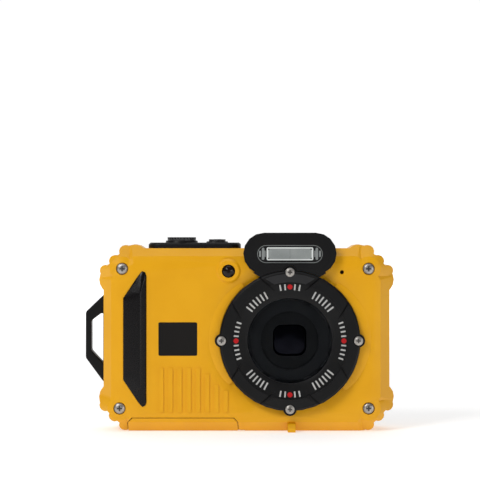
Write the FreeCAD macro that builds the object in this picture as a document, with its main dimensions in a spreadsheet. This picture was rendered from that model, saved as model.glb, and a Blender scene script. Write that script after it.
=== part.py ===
import FreeCAD, Part
import math
import os
import Sketcher

Vector = FreeCAD.Vector

# Waterproof compact camera in millimetres. X runs to the right as the camera is seen from the front,
# Y runs into the camera from its front face, and Z runs up from the base that it stands on.

SIZES = (
    # Body shell
    ("body_wide", 111.0),
    ("body_tall", 70.8),
    ("front_y", -11.8),
    ("parting_y", 7.0),
    ("rear_y", 11.0),
    ("side_wall", 2.4),
    ("face_wall", 2.0),
    ("top_corner_leg", 8.4),
    ("base_corner_leg", 9.7),
    ("top_cavity_leg", 15.8),
    ("base_cavity_leg", 16.6),
    ("plateau_left_inset", 4.0),
    ("plateau_right_inset", 4.6),
    ("plateau_low", 4.5),
    ("plateau_top_drop", 3.8),
    ("plateau_corner", 4.0),
    ("bevel_angle", 40.0),
    ("edge_angle", 74.0),
    ("edge_wide", 2.4),
    ("rear_flare", 1.3),
    ("bevel_wall_inset", 0.8),
    ("boss_radius", 4.0),
    ("notch_reach", 4.7),
    ("notch_shoulder", 2.8),
    # Corner bumpers
    ("bump_radius", 2.25),
    ("bump_pitch", 5.45),
    ("bump_inset", 4.45),
    ("top_bump_drop", 4.85),
    ("base_bump_z", 6.15),
    ("hump_radius", 5.2),
    ("crown_hump_inset", 12.0),
    ("crown_hump_drop", 3.7),
    ("side_hump_inset", 3.3),
    ("upper_hump_drop", 12.2),
    ("lower_hump_z", 13.1),
    # Body screws
    ("screw_left_inset", 7.5),
    ("screw_base_inset", 6.5),
    ("screw_right_inset", 8.5),
    ("screw_top_drop", 7.9),
    ("screw_base_z", 9.1),
    ("screw_head_radius", 2.1),
    ("screw_head_tall", 1.3),
    ("screw_shank_radius", 1.0),
    ("screw_sink", 0.3),
    ("screw_bite", 2.6),
    ("screw_play", 0.3),
    ("cross_long", 0.55),
    ("cross_wide", 0.16),
    # Seals
    ("seal_wide", 0.9),
    ("seal_tall", 0.8),
    ("seal_inset", 0.75),
    # Clearances
    ("close_gap", 0.1),
    ("key_gap", 0.2),
    ("door_gap", 0.25),
    ("shaft_gap", 0.05),
    ("rest_gap", 0.3),
    # Lens and its ring
    ("lens_x", 16.6),
    ("lens_drop", 0.1),
    ("seat_depth", 0.8),
    ("dish_wide", 4.4),
    ("ring_radius", 27.0),
    ("ring_rise", 3.2),
    ("ring_rim_wide", 0.8),
    ("ring_rim_tall", 0.7),
    ("ring_flat_wide", 3.9),
    ("ring_dish_step", 0.5),
    ("ring_bore", 16.6),
    ("ring_bore_bevel", 1.1),
    ("ring_lip", 0.4),
    ("ring_petal_rise", 0.4),
    ("ring_split_wide", 0.7),
    ("ring_split_deep", 0.9),
    ("ear_inset", 0.7),
    ("ear_radius", 2.6),
    ("ear_sink", 0.8),
    ("ear_screw_radius", 1.75),
    ("ear_screw_tall", 1.0),
    ("ear_shank_radius", 0.8),
    ("window_play", 0.2),
    ("window_thick", 1.3),
    ("window_rise", 0.1),
    ("bezel_wide", 0.7),
    ("bezel_reach", 0.5),
    ("bezel_bore", 11.2),
    ("mask_sink", 0.2),
    ("mask_thick", 0.5),
    ("mask_wide", 13.0),
    ("mask_tall", 12.0),
    ("mask_corner", 3.4),
    # Folded lens block
    ("block_half", 11.8),
    ("block_below", 8.1),
    ("block_above", 28.3),
    ("lens_room", 1.2),
    ("block_wall", 1.2),
    ("front_lens_radius", 8.0),
    ("front_lens_proud", 1.1),
    ("front_lens_curve", 30.0),
    ("prism_size", 8.8),
    ("motor_radius", 2.6),
    ("motor_long", 9.0),
    ("sensor_half", 5.6),
    ("sensor_half_deep", 4.2),
    ("zoom_rise", 8.1),
    ("group_tall", 3.0),
    ("focus_rise", 17.9),
    ("focus_tall", 2.2),
    ("group_lens_radius", 4.2),
    ("group_half_deep", 2.6),
    ("barrel_proud", 0.3),
    ("guide_spread", 7.2),
    ("guide_radius", 0.7),
    ("guide_wall", 1.6),
    ("sensor_thick", 1.2),
    # Flash
    ("flash_lift", 6.5),
    ("flash_half_wide", 17.9),
    ("flash_radius", 8.0),
    ("flash_rise", 2.8),
    ("flash_hump_deep", 8.3),
    ("neck_half_wide", 13.9),
    ("neck_drop", 7.5),
    ("flash_window_half", 12.7),
    ("flash_window_drop", 0.2),
    ("flash_window_radius", 3.6),
    ("flash_window_thick", 1.2),
    ("flash_window_sink", 0.2),
    ("flash_window_lip", 0.6),
    ("reflector_half", 9.0),
    ("reflector_half_tall", 2.65),
    ("reflector_trough_radius", 1.8),
    ("flash_tube_radius", 0.6),
    ("flash_tube_gap", 0.25),
    # Front details
    ("lamp_reach", 23.6),
    ("lamp_drop", 8.8),
    ("lamp_radius", 2.6),
    ("lamp_boss_radius", 4.9),
    ("lamp_boss_slope", 0.9),
    ("lamp_boss_rise", 0.7),
    ("lamp_curve", 3.0),
    ("lamp_rise", 1.4),
    ("mic_inset", 18.8),
    ("mic_drop", 9.2),
    ("mic_hole_radius", 0.8),
    ("mic_radius", 2.0),
    ("mic_thick", 1.2),
    ("rib_inset", 22.6),
    ("rib_pitch", 3.54),
    ("rib_wide", 1.7),
    ("rib_low", 7.7),
    ("rib_rise", 0.4),
    ("lug_shift", 0.8),
    ("lug_wide", 3.0),
    ("lug_tall", 3.1),
    ("lug_rise", 1.6),
    ("lug_slope", 1.2),
    ("lug_root", 5.0),
    # Grip
    ("grip_inset", 8.0),
    ("grip_wide", 8.8),
    ("grip_low", 9.8),
    ("grip_top_drop", 8.9),
    ("grip_slant", 10.3),
    ("grip_end_wide", 3.2),
    ("grip_end_tall", 1.9),
    ("grip_corner", 1.6),
    ("crest_inset", 1.9),
    ("grip_rise", 2.2),
    ("grip_sink", 0.8),
    ("grip_foot", 0.5),
    # Top controls
    ("plate_gap", 0.9),
    ("plate_long", 36.1),
    ("plate_half_deep", 6.6),
    ("plate_corner", 5.0),
    ("plate_tall", 2.2),
    ("plate_round", 0.7),
    ("shutter_inset", 23.2),
    ("shutter_collar_radius", 6.6),
    ("shutter_collar_rise", 0.8),
    ("shutter_radius", 5.6),
    ("shutter_rise", 1.3),
    ("shutter_room", 1.3),
    ("shutter_stem_radius", 1.4),
    ("power_inset", 9.3),
    ("power_collar_radius", 4.55),
    ("power_collar_rise", 0.5),
    ("power_radius", 3.3),
    ("power_rise", 0.8),
    ("power_room", 1.0),
    ("power_stem_radius", 1.1),
    ("collar_slope", 0.4),
    ("stem_reach", 3.6),
    ("clip_wide", 0.9),
    ("clip_tall", 0.4),
    ("crown_wall", 1.1),
    ("crown_notch_wide", 0.55),
    ("crown_notch_deep", 0.8),
    ("spring_radius", 3.2),
    ("spring_wire_radius", 0.15),
    # Rear face
    ("panel_margin", 1.4),
    ("panel_thick", 0.5),
    ("panel_proud", 0.1),
    ("screen_left_inset", 40.0),
    ("screen_right_inset", 10.0),
    ("screen_low", 12.0),
    ("screen_drop", 10.8),
    ("screen_lip", 1.5),
    ("screen_corner", 2.0),
    ("screen_glass_thick", 1.5),
    ("screen_glass_proud", 0.3),
    ("lcd_thick", 2.7),
    ("keypad_inset", 18.7),
    ("arrow_inner", 4.3),
    ("arrow_outer", 8.6),
    ("arrow_sink", 0.3),
    ("ok_radius", 3.5),
    ("small_key_radius", 2.3),
    ("small_key_dx", 8.0),
    ("small_key_dz", 15.0),
    ("record_inset", 30.9),
    ("record_radius", 2.7),
    ("zoom_inset", 16.9),
    ("zoom_drop", 13.2),
    ("zoom_half_wide", 6.4),
    ("zoom_radius", 2.7),
    ("zoom_proud", 0.6),
    ("rocker_play", 0.3),
    ("rocker_pin_radius", 0.45),
    ("rocker_pin_bite", 1.5),
    ("rocker_pin_depth", 0.9),
    ("key_proud", 0.9),
    ("key_travel", 0.4),
    ("flange_gap", 0.15),
    ("flange_thick", 0.4),
    ("flange_wide", 0.7),
    ("arrow_split", 0.3),
    ("post_radius", 1.3),
    ("post_inset", 2.5),
    ("keypad_thick", 1.6),
    ("keypad_edge", 1.2),
    ("keypad_skirt", 3.5),
    ("keypad_end", 5.6),
    ("dome_radius", 1.2),
    ("dome_tall", 0.25),
    # Strap loop
    ("loop_reach", 7.3),
    ("loop_bar_wide", 2.2),
    ("loop_base_proud", 0.5),
    ("loop_sink", 1.0),
    ("loop_top_drop", 18.3),
    ("loop_low", 18.8),
    ("loop_slant_low", 9.2),
    ("loop_slant_high", 6.5),
    ("loop_foot", 7.2),
    ("loop_window_low", 12.2),
    ("loop_window_high", 9.9),
    ("loop_half_deep", 3.0),
    # Battery door and what lies behind it
    ("door_inset", 9.6),
    ("door_long", 43.9),
    ("door_high", 5.25),
    ("door_corner", 1.75),
    ("door_slope", 3.1),
    ("door_inner_z", 4.2),
    ("door_back_y", 2.5),
    ("hinge_z", 1.25),
    ("hinge_reach", 1.4),
    ("hinge_barrel_radius", 1.05),
    ("hinge_pin_radius", 0.45),
    ("hinge_setback", 5.4),
    ("hinge_back_inset", 0.5),
    ("web_long", 2.0),
    ("pin_bite", 0.9),
    ("door_seal_wide", 1.0),
    ("door_seal_corner", 1.2),
    ("bay_low", 5.1),
    ("latch_inset", 3.4),
    ("latch_long", 6.0),
    ("latch_travel", 2.2),
    ("latch_half_deep", 2.4),
    ("latch_tall", 0.9),
    ("tongue_tall", 0.8),
    ("tongue_half_deep", 1.0),
    ("battery_inset", 17.3),
    ("battery_wide", 32.0),
    ("battery_tall", 40.0),
    ("battery_thick", 6.6),
    ("battery_room", 1.2),
    ("battery_round", 1.2),
    ("holder_wall", 0.8),
    ("card_inset", 0.3),
    ("card_wide", 24.0),
    ("card_tall", 32.0),
    ("card_thick", 2.1),
    ("card_corner", 4.0),
    ("usb_inset", 25.4),
    ("usb_wide", 7.6),
    ("usb_thick", 2.7),
    ("usb_deep", 5.2),
    ("usb_shell", 0.35),
    ("usb_tongue_inset", 1.6),
    # Carrier, boards and other inner pieces
    ("chassis_setback", 6.2),
    ("chassis_thick", 0.8),
    ("frame_margin", 2.0),
    ("frame_low", 12.0),
    ("frame_drop", 8.0),
    ("board_reach", 27.6),
    ("board_inset", 14.5),
    ("board_low", 12.5),
    ("board_drop", 11.8),
    ("board_thick", 1.0),
    ("chip_tall", 1.1),
    ("capacitor_radius", 4.2),
    ("capacitor_long", 24.0),
    ("capacitor_shift", 2.4),
    ("capacitor_z", 16.0),
    ("tripod_y", -1.5),
    ("tripod_radius", 4.5),
    ("tripod_bore", 2.6),
    ("tripod_deep", 5.5),
    ("tripod_tall", 6.6),
    ("tripod_boss_wall", 1.5),
)

# Heights of the upper ends of the moulded ribs, from left to right
RIB_TOPS = (24.7, 24.7, 24.7, 24.7, 24.7, 22.4, 18.3, 16.0)

# Chips on the main board: name, place from the board's lower left corner, width and height
CHIPS = (
    ("processor", 17.0, 25.5, 12.0, 12.0),
    ("memory_chip", 35.0, 27.5, 8.0, 11.0),
    ("power_chip", 33.0, 5.5, 7.0, 7.0),
    ("audio_chip", 7.0, 3.5, 5.0, 5.0),
)

# Half angles in degrees of the lens ring's flat segments, at their inner and outer ends
RING_SIDE_IN = 24.0
RING_SIDE_OUT = 34.0
RING_TOP_IN = 17.0
RING_TOP_OUT = 26.0
PETAL_SKEW = 3.0
PETAL_REACH = 1.2

CROWN_TEETH = 28
SPRING_TURNS = 4
SPRING_SIDES = 12


class Size:
    """A number together with the spreadsheet formula that it comes from."""

    def __init__(self, number, formula):
        self.number = float(number)
        self.formula = formula

    def __float__(self):
        return self.number

    def combine(self, other, sign, swap=False):
        """Join two sizes, or a size and a plain number, with one arithmetic sign."""
        other = as_size(other)
        first, second = (other, self) if swap else (self, other)
        results = {
            "+": lambda: first.number + second.number,
            "-": lambda: first.number - second.number,
            "*": lambda: first.number * second.number,
            "/": lambda: first.number / second.number,
        }
        return Size(results[sign](), "(%s %s %s)" % (first.formula, sign, second.formula))

    def __add__(self, other):
        return self.combine(other, "+")

    def __radd__(self, other):
        return self.combine(other, "+", swap=True)

    def __sub__(self, other):
        return self.combine(other, "-")

    def __rsub__(self, other):
        return self.combine(other, "-", swap=True)

    def __mul__(self, other):
        return self.combine(other, "*")

    def __rmul__(self, other):
        return self.combine(other, "*", swap=True)

    def __truediv__(self, other):
        return self.combine(other, "/")

    def __neg__(self):
        return Size(-self.number, "(0 - %s)" % self.formula)


def as_size(value):
    """Return a size for a plain number, and a size as it is."""
    if isinstance(value, Size):
        return value
    return Size(value, "(%.9f)" % value)


doc = FreeCAD.newDocument("WaterproofCamera")
sheet = doc.addObject("Spreadsheet::Sheet", "Sizes")


def fill_sheet():
    """Write every driving size into the sheet and return the sizes by name."""
    sizes = {}
    for row, (alias, number) in enumerate(SIZES, start=1):
        sheet.set("A%d" % row, alias)
        sheet.set("B%d" % row, str(number))
        sheet.setAlias("B%d" % row, alias)
        sizes[alias] = Size(number, "Sizes.%s" % alias)
    doc.recompute()
    return sizes


class Named:
    """The sizes as attributes, so that a formula reads as plain words."""

    def __init__(self, sizes):
        self.__dict__.update(sizes)


d = Named(fill_sheet())


def tangent(angle):
    """The tangent of an angle in degrees."""
    return Size(math.tan(math.radians(float(angle))), "tan(%s * 1 deg)" % angle.formula)


# Places measured from the body's outer faces and from one another
body_half = d.body_wide / 2
plateau_left = d.plateau_left_inset - body_half
plateau_right = body_half - d.plateau_right_inset
plateau_high = d.body_tall - d.plateau_top_drop
bump_x = body_half - d.bump_inset
top_bump_z = d.body_tall - d.top_bump_drop
crown_hump_x = body_half - d.crown_hump_inset
crown_hump_z = d.body_tall - d.crown_hump_drop
side_hump_x = body_half - d.side_hump_inset
upper_hump_z = d.body_tall - d.upper_hump_drop
screw_left = d.screw_left_inset - body_half
screw_base_left = d.screw_base_inset - body_half
screw_right = body_half - d.screw_right_inset
screw_top_z = d.body_tall - d.screw_top_drop
seat_y = d.front_y + d.seat_depth
wall_y = d.front_y + d.face_wall
rear_wall_y = d.rear_y - d.face_wall
chassis_y = rear_wall_y - d.chassis_setback
lens_z = d.body_tall / 2 - d.lens_drop
ring_front_y = d.front_y - d.ring_rise
ring_rim_radius = d.ring_radius - d.ring_rim_wide
ring_dish_radius = ring_rim_radius - d.ring_flat_wide
ear_pitch_radius = d.ring_radius - d.ear_inset
ear_front_y = ring_front_y + d.ear_sink
window_radius = d.ring_bore - d.window_play
window_back_y = d.front_y - d.window_rise
window_front = window_back_y - d.window_thick
seal_back_y = window_back_y + d.seal_tall
bezel_radius = d.ring_bore + d.bezel_wide
bezel_back_y = wall_y + d.bezel_reach
mask_back_y = wall_y - d.mask_sink
block_front_y = wall_y + d.lens_room
block_back_y = chassis_y - d.close_gap
block_inner_y = block_front_y + d.block_wall
fold_y = block_inner_y + d.close_gap + d.prism_size / 2
front_lens_y = block_front_y - d.front_lens_proud
flash_z = lens_z + d.ring_radius + d.flash_lift
flash_front_y = d.front_y - d.flash_rise
flash_window_z = flash_z - d.flash_window_drop
neck_z = flash_z - d.neck_drop
lamp_x = d.lens_x - d.lamp_reach
lamp_z = d.body_tall - d.lamp_drop
mic_x = body_half - d.mic_inset
mic_z = d.body_tall - d.mic_drop
grip_left = d.grip_inset - body_half
grip_right = grip_left + d.grip_wide
grip_high = d.body_tall - d.grip_top_drop
grip_crest_x = grip_right - d.crest_inset
grip_crest_y = d.front_y - d.grip_rise
plate_right = d.lens_x - d.flash_half_wide - d.plate_gap
plate_left = plate_right - d.plate_long
plate_top_z = d.body_tall + d.plate_tall
shutter_x = plate_right - d.shutter_inset
shutter_collar_z = plate_top_z + d.shutter_collar_rise
shutter_top_z = shutter_collar_z + d.shutter_rise
shutter_base_z = d.body_tall + d.shutter_room
spring_top_z = shutter_top_z - d.crown_wall
power_x = plate_right - d.power_inset
power_collar_z = plate_top_z + d.power_collar_rise
power_top_z = power_collar_z + d.power_rise
power_base_z = d.body_tall + d.power_room
stem_end_z = d.body_tall - d.stem_reach
screen_left = d.screen_left_inset - body_half
screen_right = body_half - d.screen_right_inset
screen_high = d.body_tall - d.screen_drop
glass_front = d.rear_y + d.screen_glass_proud
glass_back = glass_front - d.screen_glass_thick
lcd_back_y = rear_wall_y - d.key_gap
lcd_front_y = lcd_back_y - d.lcd_thick
zoom_x = d.zoom_inset - body_half
zoom_z = d.body_tall - d.zoom_drop
record_x = d.record_inset - body_half
keypad_x = d.keypad_inset - body_half
keypad_z = (d.plateau_low + zoom_z) / 2
rocker_y = rear_wall_y + d.rocker_pin_depth
key_front = d.rear_y + d.key_proud
flange_y = rear_wall_y - d.flange_gap - d.flange_thick
dome_y = flange_y - d.key_travel
keypad_back_y = dome_y - d.dome_tall
keypad_front_y = keypad_back_y - d.keypad_thick
keypad_left = keypad_x - d.small_key_dx - d.keypad_edge
keypad_right = record_x + d.keypad_end
keypad_low = keypad_z - d.small_key_dz - d.keypad_skirt
board_left = d.lens_x - d.board_reach
board_right = body_half - d.board_inset
board_high = d.body_tall - d.board_drop
board_y = chassis_y + d.chassis_thick + d.close_gap
loop_outer_x = -body_half - d.loop_reach
loop_inner_x = loop_outer_x + d.loop_bar_wide
loop_base_x = -body_half - d.loop_base_proud
loop_high = d.body_tall - d.loop_top_drop
door_left = d.door_inset - body_half
door_right = door_left + d.door_long
hinge_x = door_right
hinge_front_y = d.front_y + d.hinge_setback
hinge_back_y = d.door_back_y - d.hinge_back_inset
latch_left = door_left + d.latch_inset
battery_left = d.battery_inset - body_half
battery_front_y = wall_y + d.battery_room
card_left = battery_left + d.card_inset
usb_left = battery_left + d.usb_inset
lug_left = d.lens_x - d.lug_shift
lug_right = lug_left + d.lug_wide
lug_front_y = d.front_y - d.lug_rise
capacitor_left = d.lens_x + d.capacitor_shift


def bind(thing, path, value):
    """Tie one property to a size's formula, or set it to a plain number."""
    if isinstance(value, Size):
        thing.setExpression(path, value.formula)


def place(thing, x, y, z, rotation=None):
    """Put an object at a point, with the point's coordinates tied to the sheet."""
    turn = rotation or FreeCAD.Rotation()
    thing.Placement = FreeCAD.Placement(Vector(float(x), float(y), float(z)), turn)
    bind(thing, "Placement.Base.x", x)
    bind(thing, "Placement.Base.y", y)
    bind(thing, "Placement.Base.z", z)


def block(name, x, y, z):
    """A box between two values on each axis."""
    box = doc.addObject("Part::Box", name)
    for side, span in (("Length", x), ("Width", y), ("Height", z)):
        length = as_size(span[1]) - span[0]
        setattr(box, side, float(length))
        bind(box, side, length)
    place(box, x[0], y[0], z[0])
    return box


TURNS = {
    "X": FreeCAD.Rotation(Vector(0, 1, 0), 90),
    "Y": FreeCAD.Rotation(Vector(1, 0, 0), -90),
    "Z": FreeCAD.Rotation(),
}


def rod(name, axis, centre, radius, span):
    """A cylinder along one axis; centre gives the other two coordinates in X, Y, Z order."""
    cylinder = doc.addObject("Part::Cylinder", name)
    length = as_size(span[1]) - span[0]
    cylinder.Radius = float(radius)
    cylinder.Height = float(length)
    bind(cylinder, "Radius", radius)
    bind(cylinder, "Height", length)
    point = list(centre)
    point.insert("XYZ".index(axis), span[0])
    place(cylinder, point[0], point[1], point[2], TURNS[axis])
    return cylinder


# Sides of the regular outlines that stand for round ones, and steps in a corner's quarter turn
HIDDEN_SIDES = 8
SMALL_SIDES = 12
ROUND_SIDES = 16
WIDE_SIDES = 36
CORNER_STEPS = 4


def post(name, axis, centre, radius, span, sides=HIDDEN_SIDES):
    """A bar with a regular outline, in place of a round one where it is small, repeated or hidden."""
    bar = doc.addObject("Part::Prism", name)
    length = as_size(span[1]) - span[0]
    bar.Polygon = sides
    bar.Circumradius = float(radius)
    bar.Height = float(length)
    bind(bar, "Circumradius", radius)
    bind(bar, "Height", length)
    point = list(centre)
    point.insert("XYZ".index(axis), span[0])
    place(bar, point[0], point[1], point[2], TURNS[axis])
    return bar


def flat_sided(name, axis, outlines):
    """A tapered solid of flat faces alone, which no primitive gives, through outlines of one count
    of points at successive levels across an axis."""
    rings = []
    for points, level in outlines:
        ring = []
        for u, v in points:
            spot = [float(u), float(v)]
            spot.insert("XYZ".index(axis), float(level))
            ring.append(Vector(*spot))
        rings.append(ring)
    faces = [Part.Face(Part.makePolygon(ring + ring[:1])) for ring in (rings[0], rings[-1])]
    for near, far in zip(rings, rings[1:]):
        for index in range(len(near)):
            following = (index + 1) % len(near)
            corners = [near[index], near[following], far[following], far[index], near[index]]
            faces.append(Part.Face(Part.makePolygon(corners)))
    solid = Part.makeSolid(Part.makeShell(faces))
    if solid.Volume < 0:
        solid.reverse()
    piece = doc.addObject("Part::Feature", name)
    piece.Shape = solid
    return piece


def arc(centre, radius, start, end, steps):
    """Points along a round from one angle in degrees to another."""
    points = []
    for count in range(steps + 1):
        turn = math.radians(start + (end - start) * count / steps)
        points.append((centre[0] + radius * math.cos(turn), centre[1] + radius * math.sin(turn)))
    return points


def stack(name, axis, centre, rings, sides=WIDE_SIDES):
    """A bar with a regular outline that changes width; rings are pairs of radius and level."""
    outlines = []
    for radius, level in rings:
        outlines.append((arc(centre, radius, 0, 360, sides)[:-1], level))
    return flat_sided(name, axis, outlines)


# Shares of a dome's radius at which its straight steps meet
DOME_STEPS = (0.3, 0.65, 1.0)


def dome(name, x, z, radius, curve, front, back, sides):
    """A disc across Y with a domed front that falls away from its crown as a ball's would."""
    rings = []
    for share in DOME_STEPS:
        reach = radius * share
        rings.append((reach, front + reach * reach / (curve * 2)))
    rings.append((radius, back))
    return stack(name, "Y", (x, z), rings, sides)


def fuse(name, *pieces):
    """One solid from several that touch or overlap."""
    union = doc.addObject("Part::MultiFuse", name)
    union.Shapes = list(pieces)
    union.Refine = True
    return union


def cut(name, base, *tools):
    """The base with every tool taken away."""
    difference = doc.addObject("Part::Cut", name)
    difference.Base = base
    difference.Tool = tools[0] if len(tools) == 1 else fuse(name + "_tools", *tools)
    difference.Refine = True
    return difference


def common(name, *pieces):
    """What all the pieces share."""
    shared = doc.addObject("Part::MultiCommon", name)
    shared.Shapes = list(pieces)
    shared.Refine = True
    return shared


def group(name, *pieces):
    """Several separate solids kept as one node."""
    compound = doc.addObject("Part::Compound", name)
    compound.Links = list(pieces)
    return compound


def hold(sketch, kind, geometry, point, value):
    """Hold one coordinate of a sketch point at a size from the sheet."""
    index = sketch.addConstraint(Sketcher.Constraint(kind, -1, 1, geometry, point, float(value)))
    bind(sketch, "Constraints[%d]" % index, value)



def polygon(*points):
    """A closed outline of straight lines in a sketch."""
    def draw(sketch):
        spots = [Vector(float(u), float(v), 0) for u, v in points]
        count = len(spots)
        first = sketch.GeometryCount
        for index in range(count):
            line = Part.LineSegment(spots[index], spots[(index + 1) % count])
            sketch.addGeometry(line, False)
        for index in range(count):
            following = first + (index + 1) % count
            sketch.addConstraint(Sketcher.Constraint("Coincident", first + index, 2, following, 1))
        for index, (u, v) in enumerate(points):
            hold(sketch, "DistanceX", first + index, 1, u)
            hold(sketch, "DistanceY", first + index, 1, v)
    return draw


def round_corners(u, v, radius):
    """The points of a rectangle with round corners, between two values each way."""
    left, right, low, high = u[0] + radius, u[1] - radius, v[0] + radius, v[1] - radius
    points = []
    for count, centre in enumerate(((right, low), (right, high), (left, high), (left, low))):
        points.extend(arc(centre, radius, 90 * (count - 1), 90 * count, CORNER_STEPS))
    return points


def rounded(u, v, radius):
    """A rectangle with round corners, in a sketch, between two values each way."""
    return polygon(*round_corners(u, v, radius))


def bevelled(u, v, corner):
    """A rectangle with its corners cut, in a sketch, between two values each way."""
    return polygon(
        (u[0] + corner, v[0]), (u[1] - corner, v[0]), (u[1], v[0] + corner),
        (u[1], v[1] - corner), (u[1] - corner, v[1]), (u[0] + corner, v[1]),
        (u[0], v[1] - corner), (u[0], v[0] + corner),
    )


def slot(u, v, radius):
    """A long hole with round ends, along the sketch's first axis, between two end centres."""
    steps = CORNER_STEPS * 2
    return polygon(*arc((u[1], v), radius, -90, 90, steps), *arc((u[0], v), radius, 90, 270, steps))


# Each view of the sketches: the body's own plane, the side that its normal points to, and the origin
PLANES = {"Y": ("XZ_Plane", -1), "Z": ("XY_Plane", 1), "X": ("YZ_Plane", 1)}


def sketch_on(body, axis, level, *outlines):
    """A sketch across one axis at a level, holding the outlines."""
    role, side = PLANES[axis]
    plane = [item for item in body.Origin.OriginFeatures if item.Role == role][0]
    sketch = body.newObject("Sketcher::SketchObject", body.Name + "_outline")
    sketch.AttachmentSupport = [(plane, "")]
    sketch.MapMode = "FlatFace"
    offset = as_size(level) * side
    sketch.AttachmentOffset = FreeCAD.Placement(Vector(0, 0, float(offset)), FreeCAD.Rotation())
    bind(sketch, "AttachmentOffset.Base.z", offset)
    for outline in outlines:
        outline(sketch)
    return sketch


def pad(body, axis, span, *outlines, draft=None):
    """Add material between two levels across an axis; a draft widens it from the first level."""
    side = PLANES[axis][1]
    sketch = sketch_on(body, axis, span[0], *outlines)
    feature = body.newObject("PartDesign::Pad", body.Name + "_pad")
    feature.Profile = sketch
    feature.Reversed = side < 0
    length = as_size(span[1]) - span[0]
    feature.Length = float(length)
    bind(feature, "Length", length)
    if draft is not None:
        feature.TaperAngle = float(draft)
        bind(feature, "TaperAngle", draft)
    return feature


def pocket(body, axis, span, *outlines):
    """Take material away between two levels across an axis."""
    side = PLANES[axis][1]
    sketch = sketch_on(body, axis, span[0], *outlines)
    feature = body.newObject("PartDesign::Pocket", body.Name + "_pocket")
    feature.Profile = sketch
    feature.Reversed = side > 0
    length = as_size(span[1]) - span[0]
    feature.Length = float(length)
    bind(feature, "Length", length)
    return feature


def prism(name, axis, span, *outlines, draft=None):
    """A body with one padded outline."""
    body = doc.addObject("PartDesign::Body", name)
    pad(body, axis, span, *outlines, draft=draft)
    return body


def chamfer(body, size, chosen):
    """Bevel the edges of a body's last feature that a test picks."""
    doc.recompute()
    base = body.Tip
    names = []
    for index, edge in enumerate(base.Shape.Edges, start=1):
        if chosen(edge):
            names.append("Edge%d" % index)
    feature = body.newObject("PartDesign::Chamfer", body.Name + "_chamfer")
    feature.Base = (base, names)
    feature.Size = float(size)
    bind(feature, "Size", size)


NODES = []


def node(name, thing):
    """Name an object as one of the camera's pieces."""
    thing.Label = name
    NODES.append(thing)
    return thing


# Body shell


def octagon(half_wide, low, high, low_leg, high_leg):
    """A rectangle with its four corners cut at 45 degrees."""
    return polygon(
        (low_leg - half_wide, low),
        (half_wide - low_leg, low),
        (half_wide, low + low_leg),
        (half_wide, high - high_leg),
        (half_wide - high_leg, high),
        (high_leg - half_wide, high),
        (-half_wide, high - high_leg),
        (-half_wide, low + low_leg),
    )


# A 45 degree outline moved outwards by a wall lengthens each corner cut by this share of the wall
CORNER_GROWTH = 2 - math.sqrt(2)


def cavity_outline(outwards):
    """The inner outline of the shell, moved outwards by a distance."""
    return octagon(
        d.body_wide / 2 - d.side_wall + outwards,
        d.side_wall - outwards,
        d.body_tall - d.side_wall + outwards,
        d.base_cavity_leg + outwards * CORNER_GROWTH,
        d.top_cavity_leg + outwards * CORNER_GROWTH,
    )


def bumpy_body(name, span):
    """The shell's outer outline with its corner bumpers, between two depths."""
    outline = octagon(
        body_half, as_size(0), d.body_tall, d.base_corner_leg, d.top_corner_leg
    )
    pieces = [prism(name + "_core", "Y", span, outline)]
    step = d.bump_pitch / math.sqrt(2)
    for side in (-1, 1):
        spots = []
        for count in (-1, 0, 1):
            spots.append((bump_x + step * count, top_bump_z - step * count, d.bump_radius))
            spots.append((bump_x + step * count, d.base_bump_z + step * count, d.bump_radius))
        spots.append((crown_hump_x, crown_hump_z, d.hump_radius))
        spots.append((side_hump_x, upper_hump_z, d.hump_radius))
        spots.append((side_hump_x, d.lower_hump_z, d.hump_radius))
        for count, (x, z, radius) in enumerate(spots):
            label = "%s_bump_%s_%d" % (name, "left" if side < 0 else "right", count)
            sides = ROUND_SIDES if radius is d.hump_radius else SMALL_SIDES
            pieces.append(post(label, "Y", (x * side, z), radius, span, sides))
    return fuse(name, *pieces)


def plateau_form(name, level, depth, outwards):
    """The face's flat plateau moved outwards by a distance, and the bevel that runs out from it."""
    flare = tangent(d.bevel_angle) * abs(float(depth))
    outlines = []
    for reach, y in ((as_size(outwards), level), (outwards + flare, level + depth)):
        outlines.append((round_corners(
            (plateau_left - reach, plateau_right + reach),
            (d.plateau_low - reach, plateau_high + reach),
            d.plateau_corner + reach,
        ), y))
    return flat_sided(name, "Y", outlines)


def notched_outline(inset):
    """The front plateau's outline, drawn in by a distance, with a notch each side of every corner."""
    edges = (
        (screw_left, screw_top_z, -1, 1), (screw_right, screw_top_z, 1, 1),
        (screw_right, d.screw_base_z, 1, -1), (screw_base_left, d.screw_base_z, -1, -1),
    )
    points = []
    for x, z, side, up in edges:
        edge_x = plateau_left + inset if side < 0 else plateau_right - inset
        edge_z = d.plateau_low + inset if up < 0 else plateau_high - inset
        shoulder = d.notch_shoulder
        corner = [
            (edge_x, z - d.notch_reach * up),
            (x + (shoulder - inset) * side, z - shoulder * up),
            (x - shoulder * side, z + (shoulder - inset) * up),
            (x - d.notch_reach * side, edge_z),
        ]
        if side == up:
            corner.reverse()
        points.extend(corner)
    return polygon(*points)


def front_form(name, level, depth, inset, angle):
    """The front's flat plateau with its round screw bosses, and the slope that runs out from it."""
    slope = prism(name + "_slope", "Y", (level, level + depth), notched_outline(inset), draft=angle)
    pieces = [slope]
    small = d.boss_radius - inset
    for count, (x, z) in enumerate(screw_spots()):
        rings = ((small, level), (small + depth * tangent(angle), level + depth))
        pieces.append(stack("%s_boss_%d" % (name, count), "Y", (x, z), rings, ROUND_SIDES))
    return fuse(name, *pieces)


def screw_spots():
    """The four corner screws."""
    return (
        (screw_left, screw_top_z),
        (screw_right, screw_top_z),
        (screw_base_left, d.screw_base_z),
        (screw_right, d.screw_base_z),
    )


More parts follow.
